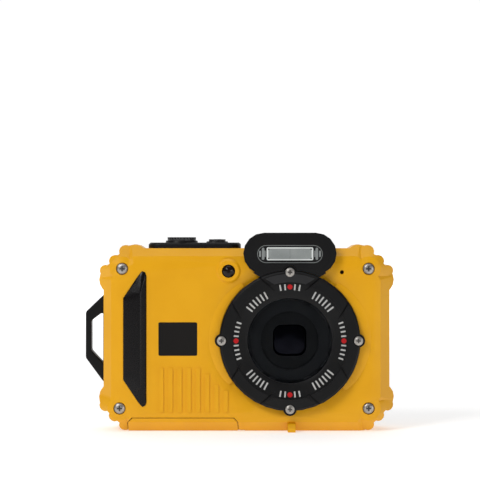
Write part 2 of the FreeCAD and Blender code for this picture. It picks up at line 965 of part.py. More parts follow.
def ear_spots():
    """The lens ring's four screws, at its top, bottom and sides."""
    return (
        (d.lens_x, lens_z + ear_pitch_radius),
        (d.lens_x, lens_z - ear_pitch_radius),
        (d.lens_x - ear_pitch_radius, lens_z),
        (d.lens_x + ear_pitch_radius, lens_z),
    )


# Shares of the ring's and the flash's sizes where the neck's corners sink into each of them
NECK_ROOT_WIDE = 0.5
NECK_ROOT_HIGH = 0.8
NECK_JOIN_SIDE = 0.72
NECK_JOIN_LOW = 0.6


def flash_outline(outwards):
    """The flash housing seen from the front: a wide round-ended head on a narrower neck."""
    head = slot(
        (d.lens_x - d.flash_half_wide + d.flash_radius,
         d.lens_x + d.flash_half_wide - d.flash_radius),
        flash_z,
        d.flash_radius + outwards,
    )
    join_z = flash_z - d.flash_radius * NECK_JOIN_LOW
    neck = polygon(
        (d.lens_x - d.neck_half_wide - outwards, neck_z),
        (d.lens_x - d.neck_half_wide * NECK_ROOT_WIDE, lens_z + d.ring_radius * NECK_ROOT_HIGH),
        (d.lens_x + d.neck_half_wide * NECK_ROOT_WIDE, lens_z + d.ring_radius * NECK_ROOT_HIGH),
        (d.lens_x + d.neck_half_wide + outwards, neck_z),
        (d.lens_x + d.flash_half_wide - d.flash_radius * NECK_JOIN_SIDE, join_z),
        (d.lens_x - d.flash_half_wide + d.flash_radius * NECK_JOIN_SIDE, join_z),
    )
    return head, neck


def ring_space(name, outwards, span):
    """The round of the lens ring with its four ears, between two depths."""
    pieces = [post(name + "_round", "Y", (d.lens_x, lens_z), d.ring_radius + outwards, span,
                   WIDE_SIDES)]
    for count, (x, z) in enumerate(ear_spots()):
        pieces.append(post("%s_ear_%d" % (name, count), "Y", (x, z), d.ear_radius + outwards, span,
                           ROUND_SIDES))
    return fuse(name, *pieces)


def door_outline(gap):
    """The battery door seen from the front: its left end is chamfered and its right end slopes
    down to the hinge, where it stops short of the knuckle that it turns round."""
    below = -d.door_high
    end = hinge_x - d.hinge_reach + gap
    return polygon(
        (door_left - gap, below),
        (door_left - gap, d.door_high - d.door_corner),
        (door_left - gap + d.door_corner, d.door_high + gap),
        (door_right - d.door_slope + gap, d.door_high + gap),
        (door_right - d.door_slope / 2 + gap, d.door_high - d.door_slope / 2),
        (end, d.hinge_z),
        (end, below),
    )


def make_front_skin(name):
    """The solid outer form of the front shell, which the battery door continues."""
    blank = bumpy_body(name + "_blank", (d.front_y, d.parting_y))
    deep = d.parting_y - d.front_y
    form = front_form(name + "_form", d.front_y, deep, as_size(0), d.bevel_angle)
    edge_deep = d.edge_wide / (tangent(d.edge_angle) - tangent(d.bevel_angle))
    edge = front_form(name + "_edge", d.front_y, edge_deep, d.edge_wide, d.edge_angle)
    margin = d.body_wide
    rest = block(name + "_rest", (-margin, margin),
                 (d.front_y + edge_deep, d.parting_y), (-margin, margin))
    return common(name, blank, form, fuse(name + "_eased", edge, rest))


def make_outside():
    """The front shell's outer form with the lamp's boss, the base lug and the moulded ribs."""
    root = d.front_y + d.close_gap
    lamp_boss = stack(
        "lamp_boss", "Y", (lamp_x, lamp_z),
        ((d.lamp_boss_radius - d.lamp_boss_slope, d.front_y - d.lamp_boss_rise),
         (d.lamp_boss_radius, root)), ROUND_SIDES,
    )
    lug = prism(
        "lug", "X", (lug_left, lug_right),
        polygon(
            (d.front_y + d.lug_root, as_size(0)),
            (lug_front_y, as_size(0)),
            (lug_front_y, d.lug_tall / 2),
            (lug_front_y + d.lug_slope, d.lug_tall),
            (d.front_y + d.lug_root, d.lug_tall + d.lug_slope),
        ),
    )
    ribs = []
    for count, top in enumerate(RIB_TOPS):
        left = d.rib_inset - body_half + d.rib_pitch * count - d.rib_wide / 2
        ribs.append(block(
            "rib_%d" % count, (left, left + d.rib_wide),
            (d.front_y - d.rib_rise, root), (d.rib_low, as_size(top)),
        ))
    return fuse("front_outside", make_front_skin("front_skin"), lamp_boss, lug, *ribs)


def screw_ways():
    """The sinks and ways of the body screws, and the bites of the lens ring's."""
    tools = []
    for count, (x, z) in enumerate(screw_spots()):
        seat = d.front_y + d.screw_sink + d.screw_head_tall
        tools.append(post("head_sink_%d" % count, "Y", (x, z),
                          d.screw_head_radius + d.screw_play, (d.front_y - 1, seat), ROUND_SIDES))
        tools.append(post("shank_way_%d" % count, "Y", (x, z),
                          d.screw_shank_radius + d.screw_play, (seat - 1, d.parting_y + 1)))
    for count, (x, z) in enumerate(ear_spots()):
        tools.append(post("ear_bite_%d" % count, "Y", (x, z), d.ear_shank_radius,
                          (seat_y - 1, wall_y + 1)))
    return tools


def front_ways():
    """The seats and openings of the lens, the flash, the lamp, the microphone and the grip."""
    through = (d.front_y - 2, wall_y + 1)
    seat = (d.front_y - 2, seat_y)
    head, neck = flash_outline(d.close_gap)
    return [
        stack("dish", "Y", (d.lens_x, lens_z),
              ((d.ring_radius + d.dish_wide, d.front_y), (d.ring_radius, seat_y))),
        ring_space("ring_seat", d.close_gap, seat),
        prism("flash_seat_head", "Y", seat, head),
        prism("flash_seat_neck", "Y", seat, neck),
        post("lens_way", "Y", (d.lens_x, lens_z), bezel_radius, through, WIDE_SIDES),
        post("lamp_way", "Y", (lamp_x, lamp_z), d.lamp_radius, through, ROUND_SIDES),
        post("mic_way", "Y", (mic_x, mic_z), d.mic_hole_radius, through, SMALL_SIDES),
        prism("grip_seat", "Y", (d.front_y - 2, d.front_y + d.grip_sink),
              grip_outline(d.close_gap)),
    ]


def stem_ways():
    """The ways of the two top buttons' stems, each with a seat for its seal."""
    tools = []
    for name, x, radius in (("shutter", shutter_x, d.shutter_stem_radius),
                            ("power", power_x, d.power_stem_radius)):
        low = d.body_tall - d.side_wall - 1
        tools.append(post(name + "_stem_way", "Z", (x, as_size(0)), radius + d.key_gap,
                          (low, d.body_tall + 1), SMALL_SIDES))
        tools.append(post(name + "_seal_seat", "Z", (x, as_size(0)), radius + d.seal_wide,
                          (low, d.body_tall - d.side_wall + d.seal_tall), SMALL_SIDES))
    return tools


def base_ways():
    """The openings of the tripod bush, the strap loop, the battery door, its hinge and latch."""
    low = -d.door_high
    barrel = (hinge_front_y - d.door_gap, hinge_back_y + d.door_gap)
    door = (d.front_y - 3, d.door_back_y + d.door_gap)
    corner = block("knuckle_corner", (hinge_x - d.hinge_reach * 2, hinge_x), door, (low, d.hinge_z))
    knuckle = rod("knuckle_round", "Y", (hinge_x, d.hinge_z), d.hinge_reach - d.door_gap,
                  (door[0] - 1, door[1] + 1))
    reach = d.hinge_barrel_radius + d.door_gap
    play = d.key_gap
    return [
        post("tripod_way", "Z", (d.lens_x, d.tripod_y), d.tripod_radius,
             (as_size(-1), d.tripod_tall + 1), ROUND_SIDES),
        block("loop_seat", (-body_half - 1, -body_half + d.loop_sink),
              (-d.loop_half_deep, d.loop_half_deep), (d.loop_low, loop_high)),
        prism("door_space", "Y", door, door_outline(d.door_gap)),
        cut("knuckle_clear", corner, knuckle),
        rod("hinge_relief", "Y", (hinge_x, d.hinge_z), reach, barrel),
        block("hinge_mouth", (door_right - d.web_long, hinge_x + reach), barrel,
              (low, d.hinge_z + d.door_gap)),
        rod("pin_way", "Y", (hinge_x, d.hinge_z), d.hinge_pin_radius,
            (hinge_front_y - d.pin_bite, hinge_back_y + d.pin_bite)),
        block("latch_way", (door_left - d.latch_travel - play, door_left + 1),
              (-d.tongue_half_deep - play, d.tongue_half_deep + play),
              (d.latch_tall - play * 2, d.latch_tall + d.tongue_tall + play)),
    ]


def make_front_cover():
    """The deep front shell, with every seat and opening that its neighbours need."""
    tripod_boss = post(
        "tripod_boss", "Z", (d.lens_x, d.tripod_y), d.tripod_radius + d.tripod_boss_wall,
        (d.side_wall / 2, d.tripod_tall), ROUND_SIDES,
    )
    inner = d.parting_y + 1
    cavity = common(
        "front_cavity",
        prism("front_cavity_tub", "Y", (wall_y, inner), cavity_outline(as_size(0))),
        plateau_form("front_cavity_form", wall_y, inner - wall_y, -d.bevel_wall_inset),
    )
    shell = fuse("front_shell", cut("front_tub", make_outside(), cavity), tripod_boss)
    tools = screw_ways() + front_ways() + stem_ways() + base_ways()
    node("front_cover", cut("front_cover", shell, *tools))


def grip_outline(outwards):
    """The grip seen from the front: a straight left side with long slanted ends."""
    turn = grip_left + d.grip_wide - d.grip_end_wide
    high, low = grip_high, d.grip_low
    corner = d.grip_corner
    return polygon(
        (grip_left - outwards, low + d.grip_slant),
        (turn, low + d.grip_end_tall - outwards),
        (grip_right - corner, low - outwards),
        (grip_right - corner / 4, low + corner / 4 - outwards),
        (grip_right + outwards, low + corner),
        (grip_right + outwards, high - corner),
        (grip_right - corner / 4, high - corner / 4 + outwards),
        (grip_right - corner, high + outwards),
        (turn, high - d.grip_end_tall + outwards),
        (grip_left - outwards, high - d.grip_slant),
    )


def panel_outline(outwards):
    """The dark rear panel's outline, inside the rear plateau."""
    inset = d.panel_margin - outwards
    return rounded(
        (plateau_left + inset, plateau_right - inset),
        (d.plateau_low + inset, plateau_high - inset),
        d.plateau_corner - d.panel_margin + outwards,
    )


def screen_outline(outwards, corner):
    """The screen glass's outline, moved outwards by a distance."""
    return rounded(
        (screen_left - outwards, screen_right + outwards),
        (d.screen_low - outwards, screen_high + outwards),
        corner,
    )


def small_keys():
    """The round keys on the back: name, place and radius."""
    return (
        ("playback_button", keypad_x - d.small_key_dx, keypad_z + d.small_key_dz,
         d.small_key_radius),
        ("mode_button", keypad_x + d.small_key_dx, keypad_z + d.small_key_dz,
         d.small_key_radius),
        ("menu_button", keypad_x - d.small_key_dx, keypad_z - d.small_key_dz,
         d.small_key_radius),
        ("delete_button", keypad_x + d.small_key_dx, keypad_z - d.small_key_dz,
         d.small_key_radius),
        ("record_button", record_x, zoom_z, d.record_radius),
    )


def rocker_outline(outwards):
    """The zoom rocker seen from behind."""
    reach = d.zoom_half_wide - d.zoom_radius
    return slot((zoom_x - reach, zoom_x + reach), zoom_z, d.zoom_radius + outwards)


def key_openings(name, span):
    """The holes that the rear keys and the zoom rocker come through."""
    holes = [post(name + "_pad_hole", "Y", (keypad_x, keypad_z), d.arrow_outer + d.key_gap, span,
                  WIDE_SIDES)]
    for label, x, z, radius in small_keys():
        holes.append(post("%s_%s_hole" % (name, label), "Y", (x, z), radius + d.key_gap, span,
                          ROUND_SIDES))
    holes.append(prism(name + "_rocker_hole", "Y", span, rocker_outline(d.rocker_play)))
    return holes


def seal_band(name, span):
    """The round of the main seal, half way through the shell's side wall."""
    half = d.seal_wide / 2
    return prism(name, "Y", span, cavity_outline(d.seal_inset + half),
                 cavity_outline(d.seal_inset - half))


def make_rear_cover():
    """The shallow rear shell with its seal groove, screen opening and key holes."""
    blank = bumpy_body("rear_blank", (d.parting_y, d.rear_y))
    form = plateau_form("rear_form", d.rear_y, d.parting_y - d.rear_y, d.rear_flare)
    cavity = common(
        "rear_cavity",
        prism("rear_cavity_tub", "Y", (d.parting_y - 1, rear_wall_y), cavity_outline(as_size(0))),
        plateau_form("rear_cavity_form", rear_wall_y, d.parting_y - rear_wall_y - 1,
                     d.rear_flare - d.bevel_wall_inset),
    )
    tools = [
        cavity,
        seal_band("seal_groove", (d.parting_y - 1, d.parting_y + d.seal_tall)),
        prism("panel_seat", "Y", (d.rear_y - d.panel_thick, d.rear_y + 1),
              panel_outline(d.close_gap)),
        block("screen_way", (screen_left + d.screen_lip, screen_right - d.screen_lip),
              (d.parting_y, d.rear_y + 1), (d.screen_low + d.screen_lip, screen_high - d.screen_lip)),
        prism("screen_seat", "Y", (glass_back, d.rear_y + 1),
              screen_outline(d.close_gap, d.screen_corner)),
        rod("rocker_pin_way", "Z", (zoom_x, rocker_y), d.rocker_pin_radius,
            (zoom_z - d.zoom_radius - d.rocker_pin_bite,
             zoom_z + d.zoom_radius + d.rocker_pin_bite)),
    ]
    for count, (x, z) in enumerate(screw_spots()):
        tools.append(post("rear_bite_%d" % count, "Y", (x, z), d.screw_shank_radius,
                          (d.parting_y - 1, d.parting_y + d.screw_bite)))
    tools.extend(key_openings("cover", (d.parting_y, d.rear_y + 1)))
    node("rear_cover", cut("rear_cover", common("rear_skin", blank, form), *tools))
    node("main_seal", seal_band("main_seal", (d.parting_y, d.parting_y + d.seal_tall)))


def make_rear_panel():
    """The dark rear panel and the screen glass set into it."""
    plate = prism("panel_plate", "Y", (d.rear_y - d.panel_thick, d.rear_y + d.panel_proud),
                  panel_outline(as_size(0)))
    opening = prism("panel_screen_way", "Y", (d.parting_y, d.rear_y + 1),
                    screen_outline(d.close_gap, d.screen_corner))
    holes = key_openings("panel", (d.parting_y, d.rear_y + 1))
    node("rear_panel", cut("rear_panel", plate, opening, *holes))
    node("lcd_window", prism("lcd_window", "Y", (glass_back, glass_front),
                             screen_outline(as_size(0), d.screen_corner)))
    node("lcd_module", block("lcd_module", (screen_left, screen_right), (lcd_front_y, lcd_back_y),
                             (d.screen_low + d.key_gap, screen_high - d.key_gap)))


def make_round_keys():
    """The five small round keys and the central one, each on a flange behind the cover."""
    for label, x, z, radius in small_keys():
        cap = post(label + "_cap", "Y", (x, z), radius, (flange_y, key_front), ROUND_SIDES)
        flange = post(label + "_flange", "Y", (x, z), radius + d.flange_wide,
                      (flange_y, flange_y + d.flange_thick), SMALL_SIDES)
        node(label, fuse(label, cap, flange))
    node("ok_button", post("ok_button", "Y", (keypad_x, keypad_z), d.ok_radius,
                           (flange_y, key_front), ROUND_SIDES))


def make_arrow_keys():
    """The four arrow keys: quarters of one ring, split along its diagonals."""
    reach = d.arrow_outer * 2
    for label, along, up in (("up_key", 0, 1), ("down_key", 0, -1),
                             ("left_key", -1, 0), ("right_key", 1, 0)):
        tip_x = keypad_x + d.arrow_split * along
        tip_z = keypad_z + d.arrow_split * up
        wedge = prism(label + "_wedge", "Y", (flange_y - 1, key_front + 1), polygon(
            (tip_x, tip_z),
            (tip_x + reach * (along - up), tip_z + reach * (up + along)),
            (tip_x + reach * (along + up), tip_z + reach * (up - along)),
        ))
        cap = post(label + "_cap", "Y", (keypad_x, keypad_z), d.arrow_outer,
                   (flange_y, key_front - d.arrow_sink), WIDE_SIDES)
        flange = post(label + "_flange", "Y", (keypad_x, keypad_z),
                      d.arrow_outer + d.flange_wide, (flange_y, flange_y + d.flange_thick),
                      WIDE_SIDES)
        middle = post(label + "_middle", "Y", (keypad_x, keypad_z), d.arrow_inner,
                      (flange_y - 1, key_front + 1), ROUND_SIDES)
        round_key = cut(label + "_round", fuse(label + "_disc", cap, flange), middle)
        node(label, common(label, round_key, wedge))


def make_rocker():
    """The zoom rocker and the pin that it tilts on."""
    body = prism("rocker_body", "Y", (rear_wall_y, key_front + d.zoom_proud),
                 rocker_outline(as_size(0)))
    span = (zoom_z - d.zoom_radius - d.rocker_pin_bite, zoom_z + d.zoom_radius + d.rocker_pin_bite)
    bore = rod("rocker_bore", "Z", (zoom_x, rocker_y), d.rocker_pin_radius + d.shaft_gap, span)
    node("zoom_rocker", cut("zoom_rocker", body, bore))
    node("zoom_rocker_pin", rod("zoom_rocker_pin", "Z", (zoom_x, rocker_y),
                                d.rocker_pin_radius, span))


def make_keypad_board():
    """The switch board under the rear keys, with one snap dome for each contact."""
    plate = block("keypad_plate", (keypad_left, keypad_right), (keypad_front_y, keypad_back_y),
                  (keypad_low, board_high))
    contacts = [(x, z) for label, x, z, radius in small_keys()]
    contacts.append((keypad_x, keypad_z))
    ring = (d.arrow_inner + d.arrow_outer) / 2
    for along, up in ((0, 1), (0, -1), (-1, 0), (1, 0)):
        contacts.append((keypad_x + ring * along, keypad_z + ring * up))
    for side in (-1, 1):
        contacts.append((zoom_x + (d.zoom_half_wide - d.zoom_radius) * side,
                         zoom_z - d.dome_radius / 2))
    domes = []
    for count, (x, z) in enumerate(contacts):
        domes.append(post("dome_%d" % count, "Y", (x, z), d.dome_radius,
                          (keypad_back_y - d.close_gap, dome_y)))
    node("keypad_board", fuse("keypad_board", plate, *domes))


def make_chassis():
    """The metal carrier plate between the battery and the boards, with its posts."""
    back = chassis_y + d.chassis_thick
    through = (chassis_y - 1, back + 1)
    plate = prism("chassis_plate", "Y", (chassis_y, back), cavity_outline(-d.rest_gap))
    reach = d.tripod_radius + d.tripod_boss_wall + d.rest_gap
    notch = block("tripod_notch", (d.lens_x - reach, d.lens_x + reach), through,
                  (as_size(0), d.tripod_tall + d.rest_gap))
    window = block("chassis_window", (battery_left + d.battery_wide + d.frame_margin,
                                      d.lens_x - d.block_half - d.frame_margin),
                   through, (d.board_low + d.frame_low, board_high - d.frame_drop))
    inset = d.post_inset
    posts = []
    for x in (screen_left + inset, screen_right - inset):
        for z in (d.screen_low + inset, screen_high - inset):
            posts.append((x, z, lcd_front_y))
    for x in (keypad_left + inset, keypad_right - inset):
        for z in (keypad_low + inset, board_high - inset):
            posts.append((x, z, keypad_front_y))
    pillars = []
    for count, (x, z, top) in enumerate(posts):
        pillars.append(post("post_%d" % count, "Y", (x, z), d.post_radius,
                            (back - d.close_gap, top)))
    node("mid_chassis", fuse("mid_chassis", cut("chassis_sheet", plate, notch, window), *pillars))


def make_main_board():
    """The main circuit board with its processor, memory and power chips."""
    back = board_y + d.board_thick
    plate = block("board_plate", (board_left, board_right), (board_y, back),
                  (d.board_low, board_high))
    chips = []
    for name, x, z, wide, tall in CHIPS:
        left = board_left + x
        low = d.board_low + z
        chips.append(block(name, (left, left + wide), (back - d.close_gap, back + d.chip_tall),
                           (low, low + tall)))
    node("main_board", fuse("main_board", plate, *chips))


def make_grip():
    """The rubber grip: a wedge that rises to a crest by its steep right side."""
    floor = d.front_y + d.grip_sink
    foot = d.grip_foot
    outline = prism("grip_plan", "Y", (grip_crest_y - 1, floor), grip_outline(as_size(0)))
    wedge = prism("grip_wedge", "Z", (d.grip_low - 1, grip_high + 1), polygon(
        (grip_left - 1, floor + 1),
        (grip_left - 1, d.front_y),
        (grip_left + foot * 2, d.front_y - foot),
        (grip_crest_x - d.crest_inset, grip_crest_y + foot / 2),
        (grip_crest_x, grip_crest_y),
        (grip_right - foot, grip_crest_y + foot * 1.5),
        (grip_right, grip_crest_y + foot * 3),
        (grip_right + foot, floor + 1),
    ))
    node("grip_pad", common("grip_pad", outline, wedge))


def make_top_plate():
    """The top plate with a raised collar round each button's well."""
    plate = prism("plate_blank", "Z", (d.body_tall, plate_top_z), rounded(
        (plate_left, plate_right), (-d.plate_half_deep, d.plate_half_deep), d.plate_corner))
    chamfer(plate, d.plate_round, lambda edge: edge.BoundBox.ZMin > float(plate_top_z) - 0.01)
    collars = []
    wells = []
    for name, x, collar, top, radius in (
            ("shutter", shutter_x, d.shutter_collar_radius, shutter_collar_z, d.shutter_radius),
            ("power", power_x, d.power_collar_radius, power_collar_z, d.power_radius)):
        rings = ((collar, d.body_tall + d.collar_slope), (collar - d.collar_slope, top))
        collars.append(stack(name + "_collar", "Z", (x, as_size(0)), rings))
        wells.append(post(name + "_well", "Z", (x, as_size(0)), radius + d.key_gap,
                          (d.body_tall - 1, top + 1), WIDE_SIDES))
    node("top_plate", cut("top_plate", fuse("plate_and_collars", plate, *collars), *wells))


def crown_outline():
    """The shutter button's outline, with a corner in the middle of each notch."""
    points = []
    for count in range(CROWN_TEETH):
        turn = 2 * math.pi * count / CROWN_TEETH
        points.append((d.shutter_radius * math.cos(turn), d.shutter_radius * math.sin(turn)))
    return polygon(*points)


def make_crown():
    """The shutter button's body: notches set round its top edge."""
    crown = doc.addObject("PartDesign::Body", "shutter_crown")
    pad(crown, "Z", (shutter_base_z, shutter_top_z), crown_outline())
    half = d.crown_notch_wide / 2
    inner, outer = d.shutter_radius - d.crown_wall, d.shutter_radius + 1
    notch = pocket(crown, "Z", (shutter_top_z, shutter_top_z + d.crown_notch_deep),
                   polygon((inner, -half), (outer, -half), (outer, half), (inner, half)))
    notch.Reversed = False
    doc.recompute()
    teeth = crown.newObject("PartDesign::PolarPattern", "crown_teeth")
    teeth.Originals = [notch]
    teeth.Axis = (notch.Profile[0], ["N_Axis"])
    teeth.Angle = 360.0
    teeth.Occurrences = CROWN_TEETH
    crown.Tip = teeth
    place(crown, shutter_x, as_size(0), as_size(0))
    return crown


def button_stem(name, x, radius, top):
    """A top button's stem with the clip that keeps it in the shell."""
    low = stem_end_z + d.clip_tall
    stem = post(name + "_stem", "Z", (x, as_size(0)), radius, (stem_end_z, top), SMALL_SIDES)
    clip = post(name + "_clip", "Z", (x, as_size(0)), radius + d.clip_wide,
                (low, low + d.clip_tall), SMALL_SIDES)
    return stem, clip


def make_top_buttons():
    """The hollow shutter button, the power button and the seals round their stems."""
    hollow = post("crown_hollow", "Z", (shutter_x, as_size(0)), d.shutter_radius - d.crown_wall,
                  (shutter_base_z - 1, spring_top_z), SMALL_SIDES)
    stem, clip = button_stem("shutter", shutter_x, d.shutter_stem_radius,
                             spring_top_z + d.close_gap)
    node("shutter_button", fuse("shutter_button", cut("crown_shell", make_crown(), hollow),
                                stem, clip))
    cap = post("power_cap", "Z", (power_x, as_size(0)), d.power_radius,
               (power_base_z, power_top_z), ROUND_SIDES)
    stem, clip = button_stem("power", power_x, d.power_stem_radius, power_base_z + d.close_gap)
    node("power_button", fuse("power_button", cap, stem, clip))
    rings = []
    seat = d.body_tall - d.side_wall
    for name, x, radius in (("shutter", shutter_x, d.shutter_stem_radius),
                            ("power", power_x, d.power_stem_radius)):
        outer = post(name + "_seal_round", "Z", (x, as_size(0)), radius + d.seal_wide,
                     (seat, seat + d.seal_tall), SMALL_SIDES)
        bore = post(name + "_seal_bore", "Z", (x, as_size(0)), radius + d.shaft_gap,
                    (seat - 1, seat + d.seal_tall + 1), SMALL_SIDES)
        rings.append(cut(name + "_seal", outer, bore))
    node("top_button_seals", group("top_button_seals", *rings))


def make_spring():
    """The shutter's return spring: one wire wound as a helix of short straight runs."""
    wire = float(d.spring_wire_radius)
    radius = float(d.spring_radius)
    rise = float(spring_top_z) - float(d.body_tall) - 2 * wire
    runs = SPRING_TURNS * SPRING_SIDES
    points = []
    for count in range(runs + 1):
        turn = 2 * math.pi * count / SPRING_SIDES
        points.append(Vector(radius * math.cos(turn), radius * math.sin(turn), rise * count / runs))
    path = Part.makePolygon(points)
    corners = []
    for count in range(5):
        turn = math.pi * count / 2
        corners.append(points[0] + Vector(wire * math.cos(turn), 0, wire * math.sin(turn)))
    section = Part.makePolygon(corners)
    spring = doc.addObject("Part::Feature", "shutter_spring")
    spring.Shape = path.makePipeShell([section], True, True, 1)
    place(spring, shutter_x, as_size(0), d.body_tall + d.spring_wire_radius)
    node("shutter_spring", spring)


def at_angle(radius, degrees):
    """A point on a circle round the lens centre."""
    turn = math.radians(degrees)
    return d.lens_x + radius * math.cos(turn), lens_z + radius * math.sin(turn)


def stroke(name, start, end, wide, span):
    """A straight bar seen from the front, between two points round the lens."""
    (inner, first), (outer, second) = start, end
    half = math.degrees(math.asin(wide / 2 / float(inner)))
    far = math.degrees(math.asin(wide / 2 / float(outer)))
    return prism(name, "Y", span, polygon(
        at_angle(inner, first - half), at_angle(outer, second - far),
        at_angle(outer, second + far), at_angle(inner, first + half),
    ))


def make_ring_face():
    """The lens ring's form: a flat rim, a dished face and a bevelled bore."""
    centre = (d.lens_x, lens_z)
    blank = stack("ring_blank", "Y", centre, (
        (ring_rim_radius, ring_front_y),
        (d.ring_radius, ring_front_y + d.ring_rim_tall),
        (d.ring_radius, seat_y),
    ))
    face = stack("ring_dish", "Y", centre, (
        (ring_dish_radius, ring_front_y - 1),
        (ring_dish_radius, ring_front_y + d.ring_dish_step),
        (d.ring_bore + d.ring_bore_bevel, window_front - d.ring_lip * 2),
        (d.ring_bore, window_front - d.ring_lip),
        (d.ring_bore, seat_y + 1),
    ))
    room = post("ring_room", "Y", centre, bezel_radius + d.close_gap,
                (window_front - d.shaft_gap, seat_y + 1), WIDE_SIDES)
    return cut("ring_face", blank, face, room)


def ring_quarter(quarter):
    """The raised petal of one quarter of the ring and the two splits that end it."""
    start = 90 * quarter
    first = (RING_SIDE_IN, RING_SIDE_OUT)
    last = (RING_TOP_IN, RING_TOP_OUT)
    if quarter % 2:
        first, last = last, first
    inner = ring_dish_radius - 1
    outer = d.ring_radius + d.ear_radius
    span = (ring_front_y - d.ring_petal_rise, ring_front_y + d.ring_petal_rise)
    wedge = prism("petal_wedge_%d" % quarter, "Y", span, polygon(
        at_angle(inner, start + first[0]), at_angle(outer, start + first[1] + PETAL_SKEW),
        at_angle(outer * PETAL_REACH, start + 45),
        at_angle(outer, start + 90 - last[1] - PETAL_SKEW), at_angle(inner, start + 90 - last[0]),
    ))
    disc = post("petal_disc_%d" % quarter, "Y", (d.lens_x, lens_z),
                ring_rim_radius - d.close_gap, span, WIDE_SIDES)
    hole = post("petal_hole_%d" % quarter, "Y", (d.lens_x, lens_z),
                ring_dish_radius + d.close_gap, (span[0] - 1, span[1] + 1), WIDE_SIDES)
    petal = common("petal_%d" % quarter, cut("petal_band_%d" % quarter, disc, hole), wedge)
    depth = (ring_front_y - 1, ring_front_y + d.ring_split_deep)
    splits = []
    for count, (low, high) in enumerate(((start + first[0], start + first[1]),
                                         (start + 90 - last[0], start + 90 - last[1]))):
        splits.append(stroke("split_%d_%d" % (quarter, count), (ring_dish_radius - 2, low),
                             (d.ring_radius + d.ring_lip, high), float(d.ring_split_wide), depth))
    return petal, splits


def make_lens_ring():
    """The bolted lens ring: a dished face, four raised petals and the splits between them."""
    ears = []
    sinks = []
    for count, (x, z) in enumerate(ear_spots()):
        ears.append(post("ring_ear_%d" % count, "Y", (x, z), d.ear_radius, (ear_front_y, seat_y),
                         ROUND_SIDES))
        sinks.append(post("ring_sink_%d" % count, "Y", (x, z), d.ear_screw_radius + d.screw_play,
                          (ring_front_y - 2, ear_front_y), ROUND_SIDES))
        sinks.append(post("ring_way_%d" % count, "Y", (x, z), d.ear_shank_radius + d.close_gap,
                          (ear_front_y - 1, seat_y + 1)))
    petals = []
    splits = []
    for quarter in range(4):
        petal, cuts = ring_quarter(quarter)
        petals.append(petal)
        splits.extend(cuts)
    blank = fuse("ring_and_ears", make_ring_face(), *ears)
    node("lens_ring", cut("lens_ring", fuse("ring_with_petals", blank, *petals), *splits, *sinks))


def screw(name, x, z, head, head_tall, shank, start, end):
    """A round-headed screw along Y with a cross recess in its head."""
    top = post(name + "_head", "Y", (x, z), head, (start, start + head_tall), ROUND_SIDES)
    stalk = post(name + "_shank", "Y", (x, z), shank, (start + head_tall - d.close_gap, end))
    bars = []
    for count, (wide, tall) in enumerate(((d.cross_long, d.cross_wide),
                                          (d.cross_wide, d.cross_long))):
        bars.append(block("%s_bar_%d" % (name, count), (x - head * wide, x + head * wide),
                          (start - 1, start + head_tall / 2), (z - head * tall, z + head * tall)))
    return cut(name, fuse(name + "_blank", top, stalk), *bars)


def make_screws():
    """The four body screws and the lens ring's four."""
    body_screws = []
    for count, (x, z) in enumerate(screw_spots()):
        body_screws.append(screw("body_screw_%d" % count, x, z, d.screw_head_radius,
                                 d.screw_head_tall, d.screw_shank_radius,
                                 d.front_y + d.screw_sink, d.parting_y + d.screw_bite))
    node("body_screws", group("body_screws", *body_screws))
    ring_screws = []
    for count, (x, z) in enumerate(ear_spots()):
        ring_screws.append(screw("ring_screw_%d" % count, x, z, d.ear_screw_radius,
                                 d.ear_screw_tall, d.ear_shank_radius,
                                 ear_front_y - d.ear_screw_tall, wall_y))
    node("lens_ring_screws", group("lens_ring_screws", *ring_screws))


def make_window():
    """The lens window with the bezel and the seal behind it, and the mask inside them."""
    centre = (d.lens_x, lens_z)
    node("lens_window", post("lens_window", "Y", centre, window_radius,
                             (window_front, window_back_y), WIDE_SIDES))
    node("lens_bezel", cut(
        "lens_bezel",
        post("bezel_round", "Y", centre, bezel_radius, (window_front, bezel_back_y), WIDE_SIDES),
        post("bezel_bore", "Y", centre, d.bezel_bore, (window_front - 1, bezel_back_y + 1),
             WIDE_SIDES),
        post("bezel_seat", "Y", centre, window_radius + d.shaft_gap,
             (window_front - 1, seal_back_y), WIDE_SIDES),
    ))
    node("lens_window_seal", cut(
        "lens_window_seal",
        post("window_seal_round", "Y", centre, window_radius, (window_back_y, seal_back_y),
             WIDE_SIDES),
        post("window_seal_bore", "Y", centre, window_radius - d.seal_wide,
             (window_back_y - 1, seal_back_y + 1), WIDE_SIDES),
    ))
    half_wide, half_tall = d.mask_wide / 2, d.mask_tall / 2
    span = (mask_back_y - d.mask_thick, mask_back_y)
    opening = prism("mask_opening", "Y", (span[0] - 1, span[1] + 1), rounded(
        (d.lens_x - half_wide, d.lens_x + half_wide), (lens_z - half_tall, lens_z + half_tall),
        d.mask_corner))
    node("lens_mask", cut("lens_mask", post(
        "mask_round", "Y", centre, d.bezel_bore - d.shaft_gap, span, WIDE_SIDES), opening))


def make_front_optics():
    """The domed front lens and the prism that turns the light upwards behind it."""
    node("front_lens", dome("front_lens", d.lens_x, lens_z, d.front_lens_radius,
                            d.front_lens_curve, front_lens_y, block_inner_y, WIDE_SIDES))
    half = d.prism_size / 2
    front = block_inner_y + d.close_gap
    node("prism", prism("prism", "X", (d.lens_x - half, d.lens_x + half), polygon(
        (front, lens_z - half),
        (front + d.prism_size, lens_z + half),
        (front, lens_z + half),
    )))


